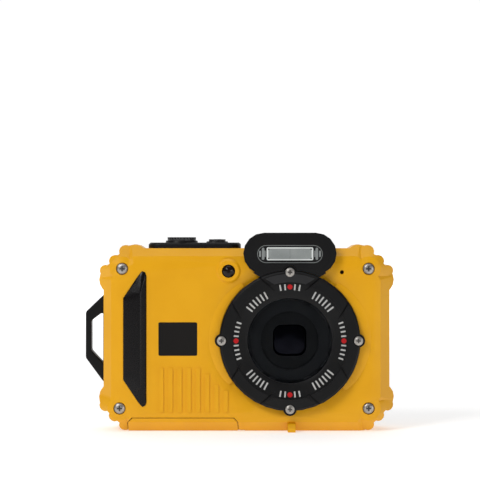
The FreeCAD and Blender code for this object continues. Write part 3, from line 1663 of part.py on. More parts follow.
def make_lens_block():
    """The lens housing with its guide rods, sensor and motor, and the two moving groups."""
    half = d.prism_size / 2 + d.close_gap
    low = lens_z + half + d.block_wall
    high = lens_z + d.block_above - d.block_wall - d.sensor_thick
    reach = d.guide_spread + d.guide_radius + d.guide_wall
    back = block_back_y + 1
    blank = block("block_blank", (d.lens_x - d.block_half, d.lens_x + d.block_half),
                  (block_front_y, block_back_y), (lens_z - d.block_below, lens_z + d.block_above))
    sensor = ((d.lens_x - d.sensor_half, d.lens_x + d.sensor_half),
              (fold_y - d.sensor_half_deep, fold_y + d.sensor_half_deep))
    node("lens_block", cut(
        "lens_block", blank,
        post("front_lens_way", "Y", (d.lens_x, lens_z), d.front_lens_radius,
             (block_front_y - 1, block_inner_y), WIDE_SIDES),
        block("prism_bay", (d.lens_x - half, d.lens_x + half), (block_inner_y, back),
              (lens_z - half, lens_z + half)),
        post("light_way", "Z", (d.lens_x, fold_y), d.group_lens_radius, (lens_z, low + 1),
             SMALL_SIDES),
        block("group_bay", (d.lens_x - reach, d.lens_x + reach), (block_inner_y, back), (low, high)),
        block("sensor_bay", sensor[0], (sensor[1][0], back), (high - 1, high + d.sensor_thick)),
    ))
    node("image_sensor", block("image_sensor", sensor[0], sensor[1],
                               (high, high + d.sensor_thick)))
    rods = []
    for count, side in enumerate((-1, 1)):
        rods.append(post("guide_rod_%d" % count, "Z", (d.lens_x + d.guide_spread * side, fold_y),
                         d.guide_radius, (low, high), SMALL_SIDES))
    node("lens_guide_rods", group("lens_guide_rods", *rods))
    make_lens_group("zoom_lens_group", lens_z + d.zoom_rise, d.group_tall, reach)
    make_lens_group("focus_lens_group", lens_z + d.focus_rise, d.focus_tall, reach)
    motor_low = lens_z + d.focus_rise
    node("zoom_motor", post("zoom_motor", "Z", (d.lens_x + d.block_half + d.motor_radius, fold_y),
                            d.motor_radius, (motor_low, motor_low + d.motor_long), SMALL_SIDES))


def make_lens_group(name, low, tall, reach):
    """A moving lens group: its frame, its barrel and the ways of the two guide rods."""
    high = low + tall
    half = reach - d.rest_gap
    plate = block(name + "_plate", (d.lens_x - half, d.lens_x + half),
                  (fold_y - d.group_half_deep, fold_y + d.group_half_deep), (low, high))
    barrel = post(name + "_barrel", "Z", (d.lens_x, fold_y), d.group_lens_radius,
                  (low - d.barrel_proud, high + d.barrel_proud), ROUND_SIDES)
    ways = []
    for count, side in enumerate((-1, 1)):
        ways.append(post("%s_way_%d" % (name, count), "Z",
                         (d.lens_x + d.guide_spread * side, fold_y),
                         d.guide_radius + d.shaft_gap, (low - 1, high + 1), SMALL_SIDES))
    node(name, cut(name, fuse(name + "_blank", plate, barrel), *ways))


def make_flash():
    """The flash housing on the lens ring's shoulder, with its window, reflector and tube."""
    span = (flash_front_y, seat_y)
    head, neck = flash_outline(as_size(0))
    hump_back = seat_y + d.flash_hump_deep - d.seat_depth
    root = seat_y - d.close_gap
    hump = common(
        "flash_hump",
        prism("flash_hump_round", "Y", (root, hump_back), head),
        block("flash_hump_space",
              (d.lens_x - d.flash_half_wide - 1, d.lens_x + d.flash_half_wide + 1),
              (root, hump_back + 1), (d.body_tall, flash_z + d.flash_radius + 1)),
    )
    blank = fuse("flash_blank", prism("flash_head", "Y", span, head),
                 prism("flash_neck", "Y", span, neck), hump)
    reach = d.flash_window_half - d.flash_window_radius
    ends = (d.lens_x - reach, d.lens_x + reach)
    window_front_y = flash_front_y + d.flash_window_sink
    window_back = window_front_y + d.flash_window_thick
    node("flash_housing", cut(
        "flash_housing", blank,
        ring_space("flash_ring_gap", d.close_gap, (flash_front_y - 1, seat_y + 1)),
        prism("flash_window_seat", "Y", (flash_front_y - 1, window_back),
              slot(ends, flash_window_z, d.flash_window_radius)),
        prism("flash_way", "Y", (flash_front_y - 1, seat_y),
              slot(ends, flash_window_z, d.flash_window_radius - d.flash_window_lip)),
    ))
    node("flash_window", prism("flash_window", "Y", (window_front_y, window_back),
                               slot(ends, flash_window_z, d.flash_window_radius - d.shaft_gap)))
    tall = d.reflector_half_tall
    sides = (d.lens_x - d.reflector_half, d.lens_x + d.reflector_half)
    trough = post("reflector_trough", "X", (window_back, flash_window_z),
                  d.reflector_trough_radius, (sides[0] - 1, sides[1] + 1), ROUND_SIDES)
    node("flash_reflector", cut("flash_reflector", block(
        "reflector_box", sides, (window_back, seat_y),
        (flash_window_z - tall, flash_window_z + tall)), trough))
    node("flash_tube", post("flash_tube", "X",
                            (window_back + d.flash_tube_radius + d.flash_tube_gap, flash_window_z),
                            d.flash_tube_radius, sides, SMALL_SIDES))
    node("flash_capacitor", post("flash_capacitor", "X",
                                 (wall_y + d.capacitor_radius, d.capacitor_z),
                                 d.capacitor_radius,
                                 (capacitor_left, capacitor_left + d.capacitor_long), ROUND_SIDES))


def make_front_details():
    """The focus lamp's dome and the microphone behind its hole."""
    node("af_lamp_lens", dome("af_lamp_lens", lamp_x, lamp_z, d.lamp_radius - d.close_gap,
                              d.lamp_curve, d.front_y - d.lamp_rise, wall_y, ROUND_SIDES))
    node("microphone", post("microphone", "Y", (mic_x, mic_z), d.mic_radius,
                            (wall_y, wall_y + d.mic_thick), SMALL_SIDES))


def make_strap_loop():
    """The strap loop: a bar that stands off the left side on two slanted arms."""
    root = d.loop_sink - body_half
    foot = d.loop_foot
    outer = polygon(
        (root, d.loop_low),
        (loop_base_x, d.loop_low),
        (loop_outer_x, d.loop_low + d.loop_slant_low),
        (loop_outer_x, loop_high - d.loop_slant_high),
        (loop_base_x, loop_high),
        (root, loop_high),
    )
    inner = polygon(
        (loop_base_x, d.loop_low + foot),
        (loop_inner_x, d.loop_low + d.loop_window_low),
        (loop_inner_x, loop_high - d.loop_window_high),
        (loop_base_x - d.loop_sink, loop_high - foot),
        (loop_base_x, loop_high - foot),
    )
    node("strap_loop", prism("strap_loop", "Y", (-d.loop_half_deep, d.loop_half_deep), outer, inner))


def make_battery_door():
    """The battery door in the base: its panel, and the barrel that it turns on."""
    space = prism("door_block", "Y", (d.front_y - 3, d.door_back_y), door_outline(as_size(0)))
    skin = common("door_skin", make_front_skin("door_form"), space)
    inside = block("door_inside", (door_left - 1, hinge_x + 2),
                   (wall_y + d.shaft_gap, d.door_back_y + 1), (d.door_inner_z, d.door_high + 1))
    span = (hinge_front_y, hinge_back_y)
    barrel = rod("door_barrel", "Y", (hinge_x, d.hinge_z), d.hinge_barrel_radius, span)
    web = block("door_web", (door_right - d.web_long, hinge_x), span,
                (d.hinge_z - d.hinge_barrel_radius + d.close_gap, d.hinge_z))
    bore = rod("door_bore", "Y", (hinge_x, d.hinge_z), d.hinge_pin_radius + d.shaft_gap,
               (hinge_front_y - 1, hinge_back_y + 1))
    play = d.key_gap
    latch_right = latch_left + d.latch_long
    low = -d.door_high
    latch_bay = block("latch_bay", (latch_left - d.latch_travel - play, latch_right + play),
                      (-d.latch_half_deep - play, d.latch_half_deep + play),
                      (low, d.latch_tall + play))
    tongue_bay = block("tongue_bay", (door_left - 1, latch_right),
                       (-d.tongue_half_deep - play, d.tongue_half_deep + play),
                       (d.latch_tall - play * 2, d.latch_tall + d.tongue_tall + play))
    node("battery_door", cut("battery_door",
                             fuse("door_blank", cut("door_panel", skin, inside), barrel, web),
                             bore, latch_bay, tongue_bay))


def make_door_fittings():
    """The door's sliding latch, its hinge pin and the seal that it presses on the bay."""
    latch_right = latch_left + d.latch_long
    play = d.key_gap
    plate = block("latch_plate", (latch_left, latch_right),
                  (-d.latch_half_deep, d.latch_half_deep), (d.close_gap, d.latch_tall))
    tongue = block("latch_tongue", (door_left + play, latch_right - 1),
                   (-d.tongue_half_deep, d.tongue_half_deep),
                   (d.latch_tall - play, d.latch_tall + d.tongue_tall))
    node("door_latch", fuse("door_latch", plate, tongue))
    node("door_hinge_pin", rod("door_hinge_pin", "Y", (hinge_x, d.hinge_z),
                               d.hinge_pin_radius,
                               (hinge_front_y - d.pin_bite, hinge_back_y + d.pin_bite)))
    left, right = battery_left - 1, usb_left + d.usb_wide + d.holder_wall
    front, back = wall_y + play, d.door_back_y - play
    wide = d.door_seal_wide
    corner = d.door_seal_corner
    node("door_seal", prism(
        "door_seal", "Z", (d.door_inner_z, d.bay_low - d.shaft_gap),
        bevelled((left, right), (front, back), corner),
        bevelled((left + wide, right - wide), (front + wide, back - wide), corner),
    ))


def make_battery_bay():
    """The moulded bay that holds the battery, the card and the socket, and what it holds."""
    gap = d.key_gap
    wall = d.holder_wall
    low = d.bay_low
    rest = low + d.rest_gap
    battery_right = battery_left + d.battery_wide
    battery_back = battery_front_y + d.battery_thick
    top = rest + d.battery_tall
    usb_right = usb_left + d.usb_wide
    depth = (wall_y + d.close_gap, chassis_y)
    bay = block("bay_blank", (battery_left - gap - wall, battery_right + gap + wall),
                depth, (low, top + gap + wall))
    flange = block("bay_flange", (battery_left - gap - wall, usb_right + wall),
                   depth, (low, low + d.usb_deep + wall))
    card_front = battery_back + gap + wall + gap
    card_back = card_front + d.card_thick
    usb_depth = (card_front - gap, card_front - gap + d.usb_thick)
    node("battery_bay", cut(
        "battery_bay", fuse("bay_body", bay, flange),
        block("battery_space", (battery_left - gap, battery_right + gap),
              (battery_front_y - gap, battery_back + gap), (low - 1, top + gap)),
        block("card_space", (card_left - gap, card_left + d.card_wide + gap),
              (card_front - gap, card_back + gap), (low - 1, rest + d.card_tall + gap)),
        block("usb_space", (usb_left, usb_right), usb_depth, (low - 1, low + d.usb_deep + gap)),
    ))
    node("battery", prism("battery", "Z", (rest, top), bevelled(
        (battery_left, battery_right), (battery_front_y, battery_back), d.battery_round)))
    card_right = card_left + d.card_wide
    card_high = rest + d.card_tall
    node("memory_card", prism("memory_card", "Y", (card_front, card_back), polygon(
        (card_left, rest),
        (card_right, rest),
        (card_right, card_high - d.card_corner),
        (card_right - d.card_corner, card_high),
        (card_left, card_high),
    )))
    make_usb_socket(usb_depth, low + gap)


def make_usb_socket(depth, low):
    """The socket: a stamped shell with a tongue standing in its mouth."""
    shell = d.usb_shell
    right = usb_left + d.usb_wide
    high = low + d.usb_deep
    middle = (depth[0] + depth[1]) / 2
    tube = cut(
        "usb_tube",
        block("usb_blank", (usb_left, right), depth, (low, high)),
        block("usb_mouth", (usb_left + shell, right - shell),
              (depth[0] + shell, depth[1] - shell), (low - 1, high - shell * 2)),
    )
    tongue = block("usb_tongue", (usb_left + d.usb_tongue_inset, right - d.usb_tongue_inset),
                   (middle - shell, middle + shell), (low + shell * 2, high - shell))
    node("usb_socket", fuse("usb_socket", tube, tongue))


def make_tripod_socket():
    """The metal tripod bush in the base, drawn at the bore of its thread."""
    bush = post("tripod_bush", "Z", (d.lens_x, d.tripod_y), d.tripod_radius,
                (as_size(0), d.tripod_tall), ROUND_SIDES)
    bore = rod("tripod_thread", "Z", (d.lens_x, d.tripod_y), d.tripod_bore,
               (as_size(-1), d.tripod_deep))
    node("tripod_socket", cut("tripod_socket", bush, bore))


make_front_cover()
make_rear_cover()
make_rear_panel()
make_round_keys()
make_arrow_keys()
make_rocker()
make_keypad_board()
make_chassis()
make_main_board()
make_grip()
make_top_plate()
make_top_buttons()
make_spring()
make_lens_ring()
make_screws()
make_window()
make_front_optics()
make_lens_block()
make_flash()
make_front_details()
make_strap_loop()
make_battery_door()
make_door_fittings()
make_battery_bay()
make_tripod_socket()


def finish():
    """Check every object and write each piece to its own file."""
    doc.recompute()
    for thing in doc.Objects:
        if "Invalid" in thing.State or "Error" in thing.State:
            raise RuntimeError("%s failed to build: %s" % (thing.Name, thing.State))
    os.makedirs("parts", exist_ok=True)
    for thing in NODES:
        if thing.Shape.isNull() or not thing.Shape.isValid():
            raise RuntimeError("%s has no valid shape" % thing.Label)
        thing.Shape.exportStep("parts/%s.step" % thing.Label)
        print("%s: %d solids, %.1f mm3" % (thing.Label, len(thing.Shape.Solids), thing.Shape.Volume))


finish()
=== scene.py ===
import math

import bmesh
import bpy
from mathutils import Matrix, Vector


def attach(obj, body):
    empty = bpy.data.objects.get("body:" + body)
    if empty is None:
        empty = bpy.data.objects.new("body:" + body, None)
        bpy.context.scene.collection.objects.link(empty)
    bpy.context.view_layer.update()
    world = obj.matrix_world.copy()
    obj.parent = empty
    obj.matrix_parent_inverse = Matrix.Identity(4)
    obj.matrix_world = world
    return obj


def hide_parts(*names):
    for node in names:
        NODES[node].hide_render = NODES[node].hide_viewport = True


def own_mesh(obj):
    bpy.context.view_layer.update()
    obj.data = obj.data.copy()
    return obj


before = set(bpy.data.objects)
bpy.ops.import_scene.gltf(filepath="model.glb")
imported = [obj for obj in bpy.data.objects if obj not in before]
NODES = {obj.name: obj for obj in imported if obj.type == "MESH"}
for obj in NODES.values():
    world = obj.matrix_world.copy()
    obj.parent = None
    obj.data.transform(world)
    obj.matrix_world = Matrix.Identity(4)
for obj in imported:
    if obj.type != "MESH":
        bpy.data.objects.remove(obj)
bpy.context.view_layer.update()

bl_info = {
    "name": "Waterproof camera finish",
    "version": (1, 0, 0),
    "blender": (4, 5, 0),
    "location": "3D View > Sidebar > Camera",
    "description": "Dresses the packed waterproof camera and sets its studio",
    "category": "Object",
}

MM = 0.001

# Places in millimetres that the pieces below are drawn round: X and Z, but X, Y and Z for the power
# button and X and Y for the tripod bush
LENS = (16.6, 35.3)
FLASH = (16.6, 68.6)
FLASH_GLASS_Y = -14.4
KEYPAD = (-36.8, 31.05)
KEY_Y = 11.9
ARROW_Y = 11.6
POWER = (-11.5, 0.0, 74.3)
TRIPOD = (16.6, -1.5)
# Depths of the faces that pieces lie on: the front shell, the seat of the ring's facets, the flat
# heads of the body's and of the ring's screws, and the screen's glass
SHELL_Y = -11.8
FACET_Y = -15.0
BODY_SCREW_Y = -11.2
RING_SCREW_Y = -14.74
SCREEN_Y = 11.3
# Thickness of a print, which is more than real ink has, so that it shows; how far a print lies over
# one that it crosses; and the thickness of a film that only hides what it covers
INK = 0.05
LAYER = 0.02
FILM = 0.01
# How deep the foot of a print and of a laid-on form lies in its carrier
PRINT_SUNK = 0.02
FORM_SUNK = 0.05


# Colour and node helpers


def linear(colour):
    """An sRGB hex colour, or a colour from the panel, as the linear RGBA that shaders take."""
    if not isinstance(colour, str):
        return tuple(colour)
    channels = [int(colour[i:i + 2], 16) / 255 for i in (1, 3, 5)]
    bent = [c / 12.92 if c <= 0.04045 else ((c + 0.055) / 1.055) ** 2.4 for c in channels]
    return (*bent, 1.0)


def add(tree, kind, settings=None, links=None):
    """Add one node, set its attributes and sockets, and link its inputs from (node, output)."""
    made = tree.nodes.new(kind)
    for name, value in (settings or {}).items():
        if isinstance(name, int) or name in made.inputs:
            made.inputs[name].default_value = value
        else:
            setattr(made, name, value)
    for name, (source, output) in (links or {}).items():
        tree.links.new(source.outputs[output], made.inputs[name])
    return made


def per_metre(size_mm):
    """How many features of a size in millimetres fit in a metre, for a texture's scale."""
    return 1000 / size_mm


def finish(name, light, dark, grain_mm, grain_deep_mm, rough, rough_spread=0.05, cloud_mm=14.0,
           stretch=(1, 1, 1), **surface):
    """A surface with a drifting colour, an uneven gloss and a fine relief, all at real sizes.

    Real grains of 0.02 to 0.1 mm are finer than a pixel here, so most are drawn 0.3 to 0.9 mm wide.
    """
    made = bpy.data.materials.new(name)
    made.use_nodes = True
    tree = made.node_tree
    tree.nodes.clear()
    place = add(tree, "ShaderNodeTexCoord")
    cloud = add(tree, "ShaderNodeTexNoise", {"Scale": per_metre(cloud_mm), "Detail": 3.0},
                {"Vector": (place, "Object")})
    spread = add(tree, "ShaderNodeMapRange", {"From Min": 0.3, "From Max": 0.7},
                 {"Value": (cloud, "Fac")})
    colour = add(tree, "ShaderNodeMix", {"data_type": "RGBA"}, {"Factor": (spread, "Result")})
    # The mix node's colour sockets, which share their names with its number sockets
    colour.inputs[6].default_value = linear(dark)
    colour.inputs[7].default_value = linear(light)
    lay = add(tree, "ShaderNodeMapping", {"Scale": stretch}, {"Vector": (place, "Object")})
    grain = add(tree, "ShaderNodeTexNoise", {"Scale": per_metre(grain_mm), "Detail": 4.0},
                {"Vector": (lay, "Vector")})
    gloss = add(tree, "ShaderNodeMapRange",
                {"From Min": 0.25, "From Max": 0.75, "To Min": max(rough - rough_spread, 0.0),
                 "To Max": min(rough + rough_spread, 1.0)}, {"Value": (grain, "Fac")})
    relief = add(tree, "ShaderNodeBump", {"Strength": 1.0, "Distance": grain_deep_mm * MM},
                 {"Height": (grain, "Fac")})
    shader = add(tree, "ShaderNodeBsdfPrincipled", surface,
                 {"Base Color": (colour, 2), "Roughness": (gloss, "Result"),
                  "Normal": (relief, "Normal")})
    add(tree, "ShaderNodeOutputMaterial", links={"Surface": (shader, "BSDF")})
    return made


def clear_sheet(name, light, dark, cloud_mm, rough, ior):
    """A clear sheet that tints what lies behind it and mirrors the room by its Fresnel share."""
    made = bpy.data.materials.new(name)
    made.use_nodes = True
    tree = made.node_tree
    tree.nodes.clear()
    place = add(tree, "ShaderNodeTexCoord")
    cloud = add(tree, "ShaderNodeTexNoise", {"Scale": per_metre(cloud_mm), "Detail": 2.0},
                {"Vector": (place, "Object")})
    tint = add(tree, "ShaderNodeMix", {"data_type": "RGBA"}, {"Factor": (cloud, "Fac")})
    tint.inputs[6].default_value = linear(dark)
    tint.inputs[7].default_value = linear(light)
    through = add(tree, "ShaderNodeBsdfTransparent", links={"Color": (tint, 2)})
    mirror = add(tree, "ShaderNodeBsdfAnisotropic", {"Roughness": rough})
    fresnel = add(tree, "ShaderNodeFresnel", {"IOR": ior})
    # The coating kills the weak mirror light of a square look and halves that of a slanting one
    share = add(tree, "ShaderNodeMapRange", {"From Min": 0.06, "From Max": 1.0, "To Max": 0.5},
                {"Value": (fresnel, "Fac")})
    side = add(tree, "ShaderNodeNewGeometry")
    # Only the faces turned to the eye mirror, so that no light is trapped inside the sheet
    outer = add(tree, "ShaderNodeMath", {"operation": "SUBTRACT", "use_clamp": True},
                {0: (share, "Result"), 1: (side, "Backfacing")})
    both = add(tree, "ShaderNodeMixShader",
               links={0: (outer, "Value"), 1: (through, "BSDF"), 2: (mirror, "BSDF")})
    add(tree, "ShaderNodeOutputMaterial", links={"Surface": (both, "Shader")})
    return made


MATERIALS = {}


def coated_polycarbonate():
    """Moulded polycarbonate under satin paint: warm yellow, a soft even sheen, faint ripples."""
    sizes = bpy.context.scene.camera_finish
    return finish("satin_painted_polycarbonate", sizes.shell_light, sizes.shell_dark,
                  grain_mm=0.9, grain_deep_mm=0.006, rough=0.38, rough_spread=0.04,
                  **{"IOR": 1.5, "Specular IOR Level": 0.3})


def build_materials():
    """Every finish of the camera, each from what the real surface is."""
    sizes = bpy.context.scene.camera_finish
    MATERIALS.update({
        "shell": coated_polycarbonate(),
        # Spark-eroded ABS: near black, a fine grain that scatters a dim grey sheen and swallows
        # half of the mirror light
        "trim": finish("spark_eroded_abs", sizes.trim_light, sizes.trim_dark, grain_mm=0.5,
                       grain_deep_mm=0.02, rough=0.42, **{"Specular IOR Level": 0.2}),
        # Thermoplastic rubber: blacker than the trim, soft highlights along the grip's crest
        "grip": finish("moulded_thermoplastic_rubber", sizes.grip_light, sizes.grip_dark,
                       grain_mm=0.6, grain_deep_mm=0.004, rough=0.27, rough_spread=0.03,
                       **{"Specular IOR Level": 0.2}),
        # Silicone: dark grey and waxy
        "seal": finish("moulded_silicone_rubber", "#2B2C2E", "#222325", grain_mm=0.8,
                       grain_deep_mm=0.004, rough=0.55, IOR=1.41),
        # Glass-filled nylon keys: satin charcoal
        "keys": finish("moulded_nylon_keys", sizes.key_light, sizes.key_dark, grain_mm=0.6,
                       grain_deep_mm=0.008, rough=0.42, IOR=1.53),
        # Stainless steel turned on a lathe: a warm grey, broken up by fine tool marks
        "screws": finish("turned_stainless_steel", "#B9B5AF", "#9F9B96", grain_mm=0.35,
                         grain_deep_mm=0.01, rough=0.42, cloud_mm=1.2, Metallic=1.0),
        # Drawn spring wire: grey with fine marks along it
        "wire": finish("drawn_spring_steel", "#9A9A9C", "#7E7E80", grain_mm=0.3,
                       grain_deep_mm=0.004, rough=0.3, stretch=(1, 1, 0.15), Metallic=1.0),
        # Pressed stainless sheet of the carrier plate and the cans: even grey, drawn out one way
        "sheet": finish("pressed_stainless_sheet", "#A3A5A8", "#8C8E91", grain_mm=0.4,
                        grain_deep_mm=0.004, rough=0.38, stretch=(0.08, 1, 1), Metallic=1.0),
        # Hardened window glass with a dark coating: all but unseen from the front
        "window": clear_sheet("coated_hardened_glass", "#E0E2E4", "#D8DADC", 20.0, 0.01, 1.45),
        # The front lens: dark to look into, with a faint curved mirror image of the room
        "lens": finish("bloomed_front_glass", "#07080C", "#040508", grain_mm=9.0,
                       grain_deep_mm=0.0002, rough=0.06, rough_spread=0.01,
                       **{"Specular IOR Level": 0.3, "Specular Tint": (0.8, 0.75, 1.0, 1.0)}),
        # Optical glass: clear, with a purple bloom on its faces
        "optics": clear_sheet("bloomed_optical_glass", "#C8C4DC", "#BCBAD6", 9.0, 0.02, 1.5),
        # Black anodised rim behind the window: a satin step above the flat black
        "rim": finish("black_anodised_aluminium", "#1F1F21", "#19191B", grain_mm=0.5,
                      grain_deep_mm=0.004, rough=0.45),
        # Flat black polycarbonate inside the lens: no sheen at all
        "baffle": finish("flat_black_polycarbonate", "#0C0C0D", "#070708", grain_mm=0.4,
                         grain_deep_mm=0.01, rough=0.7, IOR=1.5),
        # Clear acrylic over the flash: a slight grey-green tint and a soft mirror image at a slant
        "diffuser": clear_sheet("polished_clear_acrylic", "#E4E8E7", "#DCE0DF", 6.0, 0.05, 1.49),
        # Aluminium evaporated on plastic: a grey mirror
        "reflector": finish("vacuum_metallised_plastic", "#C4C9C8", "#AEB3B2", grain_mm=0.8,
                            grain_deep_mm=0.01, rough=0.22, Metallic=1.0),
        # Shrink sleeve on the capacitor's can: dark blue with a plain sheen
        "sleeve": finish("shrink_sleeved_can", "#1E2232", "#171A28", grain_mm=1.0,
                         grain_deep_mm=0.005, rough=0.35, IOR=1.5),
        # Smoked acrylic dome over the focus lamp: black until it lights
        "lamp": finish("smoked_acrylic_dome", "#1C100C", "#0D0706", grain_mm=6.0,
                       grain_deep_mm=0.001, rough=0.06, rough_spread=0.01,
                       **{"IOR": 1.49, "Specular IOR Level": 0.3}),
        # Solder mask over woven glass: green with the weave just showing
        "board": finish("solder_masked_fibreglass", "#1D5A36", "#154528", grain_mm=0.8,
                        grain_deep_mm=0.01, rough=0.35, IOR=1.5),
        # Polished ABS round the screen: gloss black, slightly wavy
        "panel": finish("polished_abs_panel", "#151516", "#0F0F10", grain_mm=3.0,
                        grain_deep_mm=0.002, rough=0.2, IOR=1.53),
        # Smoked flat glass over the screen: near black with one clear mirror image
        "screen": finish("smoked_display_glass", "#0B0C0E", "#08090A", grain_mm=30.0,
                         grain_deep_mm=0.0005, rough=0.06, rough_spread=0.01, IOR=1.52,
                         **{"Coat Weight": 0.6, "Coat Roughness": 0.02}),
        # Liquid crystal panel that is switched off: a flat blue-grey
        "display": finish("liquid_crystal_panel", "#1C2024", "#15181B", grain_mm=1.0,
                          grain_deep_mm=0.002, rough=0.3, IOR=1.5),
        # Moulded polycarbonate of the cell's case: dull dark grey
        "cell": finish("moulded_cell_case", "#3A3B3D", "#303133", grain_mm=0.6,
                       grain_deep_mm=0.008, rough=0.5, IOR=1.5),
        # Moulded ABS of the memory card: deep blue and dull
        "card": finish("moulded_card_abs", "#1B2440", "#151C33", grain_mm=0.6,
                       grain_deep_mm=0.006, rough=0.45, IOR=1.5),
        # White and red screen inks, fired onto the ring's dish: flat, slightly broken edges
        "white_ink": finish("white_screen_ink", sizes.ink_colour, "#ABABA9", grain_mm=0.3,
                            grain_deep_mm=0.004, rough=0.6, IOR=1.48),
        "red_ink": finish("red_screen_ink", sizes.dot_colour, "#AE1B1E", grain_mm=0.3,
                          grain_deep_mm=0.004, rough=0.6, **{"Specular IOR Level": 0.15}),
        # Black ink laid on with a pad: dull, a shade browner than the trim
        "black_ink": finish("black_pad_ink", "#120F0D", "#0D0B0A", grain_mm=0.5,
                            grain_deep_mm=0.004, rough=0.6, **{"Specular IOR Level": 0.2}),
        # Painted light: the same eroded ABS a shade greyer, for the upper facet that slopes to the
        # light
        "facet": finish("eroded_abs_painted_light", "#1C1C1E", "#161618", grain_mm=0.5,
                        grain_deep_mm=0.02, rough=0.45, IOR=1.53),
        # Steel darkened as painted shade, laid flat where a driver's recess is; the flash dots use
        # it too
        "recess": finish("shadowed_steel_recess", "#4A4643", "#34302D", grain_mm=0.3,
                         grain_deep_mm=0.004, rough=0.5, Metallic=0.4),
        # Polished acrylic edges, prisms and bulbs of the flash window: cool greys
        # The edges' near-white is a painted highlight, for the light that a polished edge catches
        "bright_edge": finish("acrylic_edge_painted_highlight", "#E2E6E4", "#C4C8C6", grain_mm=0.8,
                              grain_deep_mm=0.01, rough=0.2, IOR=1.49),
        "prisms": finish("moulded_acrylic_prisms", "#989D9B", "#7F8483", grain_mm=0.5,
                         grain_deep_mm=0.01, rough=0.25, IOR=1.49),
        "bulbs": finish("smoked_acrylic_bulbs", "#8C908F", "#6E7271", grain_mm=0.6,
                        grain_deep_mm=0.01, rough=0.25, IOR=1.49),
        # Hard gold plated over nickel on the cell's contacts: a pale warm mirror
        "gold": finish("plated_contact_gold", "#D9B36A", "#C49C52", grain_mm=0.4,
                       grain_deep_mm=0.003, rough=0.25, Metallic=1.0),
    })


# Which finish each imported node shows
NODE_FINISHES = {
    "shell": ("front_cover", "rear_cover", "battery_door"),
    "trim": ("lens_ring", "flash_housing", "top_plate", "battery_bay", "strap_loop"),
    "grip": ("grip_pad",),
    "seal": ("main_seal", "top_button_seals", "lens_window_seal", "door_seal"),
    "keys": ("shutter_button", "power_button", "up_key", "down_key", "left_key", "right_key",
             "ok_button", "zoom_rocker", "record_button", "menu_button", "playback_button",
             "mode_button", "delete_button", "door_latch"),
    "screws": ("lens_ring_screws", "body_screws", "tripod_socket"),
    "wire": ("shutter_spring", "lens_guide_rods", "zoom_rocker_pin", "door_hinge_pin"),
    "sheet": ("mid_chassis", "zoom_motor", "usb_socket"),
    "window": ("lens_window",),
    "lens": ("front_lens",),
    "optics": ("prism", "flash_tube"),
    "rim": ("lens_bezel",),
    "baffle": ("lens_mask", "lens_block", "zoom_lens_group", "focus_lens_group", "image_sensor",
               "microphone"),
    "diffuser": ("flash_window",),
    "reflector": ("flash_reflector",),
    "sleeve": ("flash_capacitor",),
    "lamp": ("af_lamp_lens",),
    "board": ("main_board", "keypad_board"),
    "panel": ("rear_panel",),
    "screen": ("lcd_window",),
    "display": ("lcd_module",),
    "cell": ("battery",),
    "card": ("memory_card",),
}

# Width in millimetres of the soft edge that each outer node was moulded with
SOFT_EDGES = {
    "front_cover": 0.25, "rear_cover": 0.3, "battery_door": 0.2, "lens_ring": 0.15,
    "flash_housing": 0.3, "top_plate": 0.15, "strap_loop": 0.5,
    "shutter_button": 0.08, "power_button": 0.25, "rear_panel": 0.1, "up_key": 0.2,
    "down_key": 0.2, "left_key": 0.2, "right_key": 0.2, "ok_button": 0.3, "zoom_rocker": 0.4,
    "record_button": 0.3, "menu_button": 0.3, "playback_button": 0.3, "mode_button": 0.3,
    "delete_button": 0.3, "battery": 0.2, "lens_ring_screws": 0.12, "body_screws": 0.15,
    "flash_window": 0.15, "door_latch": 0.1,
}


# Corners sharper than this, in degrees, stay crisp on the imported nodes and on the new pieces
NODE_CORNER = 32
PIECE_CORNER = 35


def soften(node, width_mm):
    """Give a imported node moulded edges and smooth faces, without moving its own vertices."""
    joined = node.modifiers.new("joined", "WELD")
    joined.merge_threshold = 0.002 * MM
    edges = node.modifiers.new("moulded_edges", "BEVEL")
    edges.limit_method = "ANGLE"
    edges.angle_limit = math.radians(NODE_CORNER)
    edges.width = width_mm * MM
    edges.segments = 2
    edges.use_clamp_overlap = True
    shade_by_angle(node, NODE_CORNER)
    # Large flat faces keep their own normal, so that only the small ones next to them turn
    weights = node.modifiers.new("flat_faces", "WEIGHTED_NORMAL")
    weights.keep_sharp = True
    weights.weight = 100


def shade_by_angle(node, degrees):
    """Smooth shading that breaks at corners sharper than an angle."""
    node.data.polygons.foreach_set("use_smooth", [True] * len(node.data.polygons))
    node.data.set_sharp_from_angle(angle=math.radians(degrees))


# Mesh helpers


def piece(name, bm, finish_name, body="camera"):
    """Turn a bmesh into a named piece that rides on a body."""
    mesh = bpy.data.meshes.new(name)
    bmesh.ops.recalc_face_normals(bm, faces=bm.faces)
    bm.to_mesh(mesh)
    bm.free()
    made = bpy.data.objects.new(name, mesh)
    bpy.context.scene.collection.objects.link(made)
    mesh.materials.append(MATERIALS[finish_name])
    shade_by_angle(made, PIECE_CORNER)
    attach(made, body)
    return made


def loft(bm, rings):
    """Join rings of points with quads, and close the first and last ring."""
    made = [[bm.verts.new(Vector(point) * MM) for point in ring] for ring in rings]
    count = len(rings[0])
    for first, second in zip(made, made[1:]):
        for i in range(count):
            j = (i + 1) % count
            bm.faces.new((first[i], first[j], second[j], second[i]))
    bm.faces.new(list(reversed(made[0])))
    bm.faces.new(made[-1])


def slab(bm, outline, front, back):
    """A flat piece seen from the front: its outline in X and Z between two depths."""
    loft(bm, [[(x, back, z) for x, z in outline], [(x, front, z) for x, z in outline]])


# Pieces


# Radius and depth of the ring's dish, at its inner and its outer edge
DISH = ((17.7, -13.95), (22.3, -14.5))


def dish_y(radius):
    """Depth of the lens ring's dish at a radius, in millimetres."""
    (near, near_y), (far, far_y) = DISH
    return near_y + (radius - near) / (far - near) * (far_y - near_y)


def around_lens(radius, degrees, y):
    """A point at a radius from the lens centre, at an angle up from the right and at a depth."""
    turn = math.radians(degrees)
    return (LENS[0] + radius * math.cos(turn), y, LENS[1] + radius * math.sin(turn))


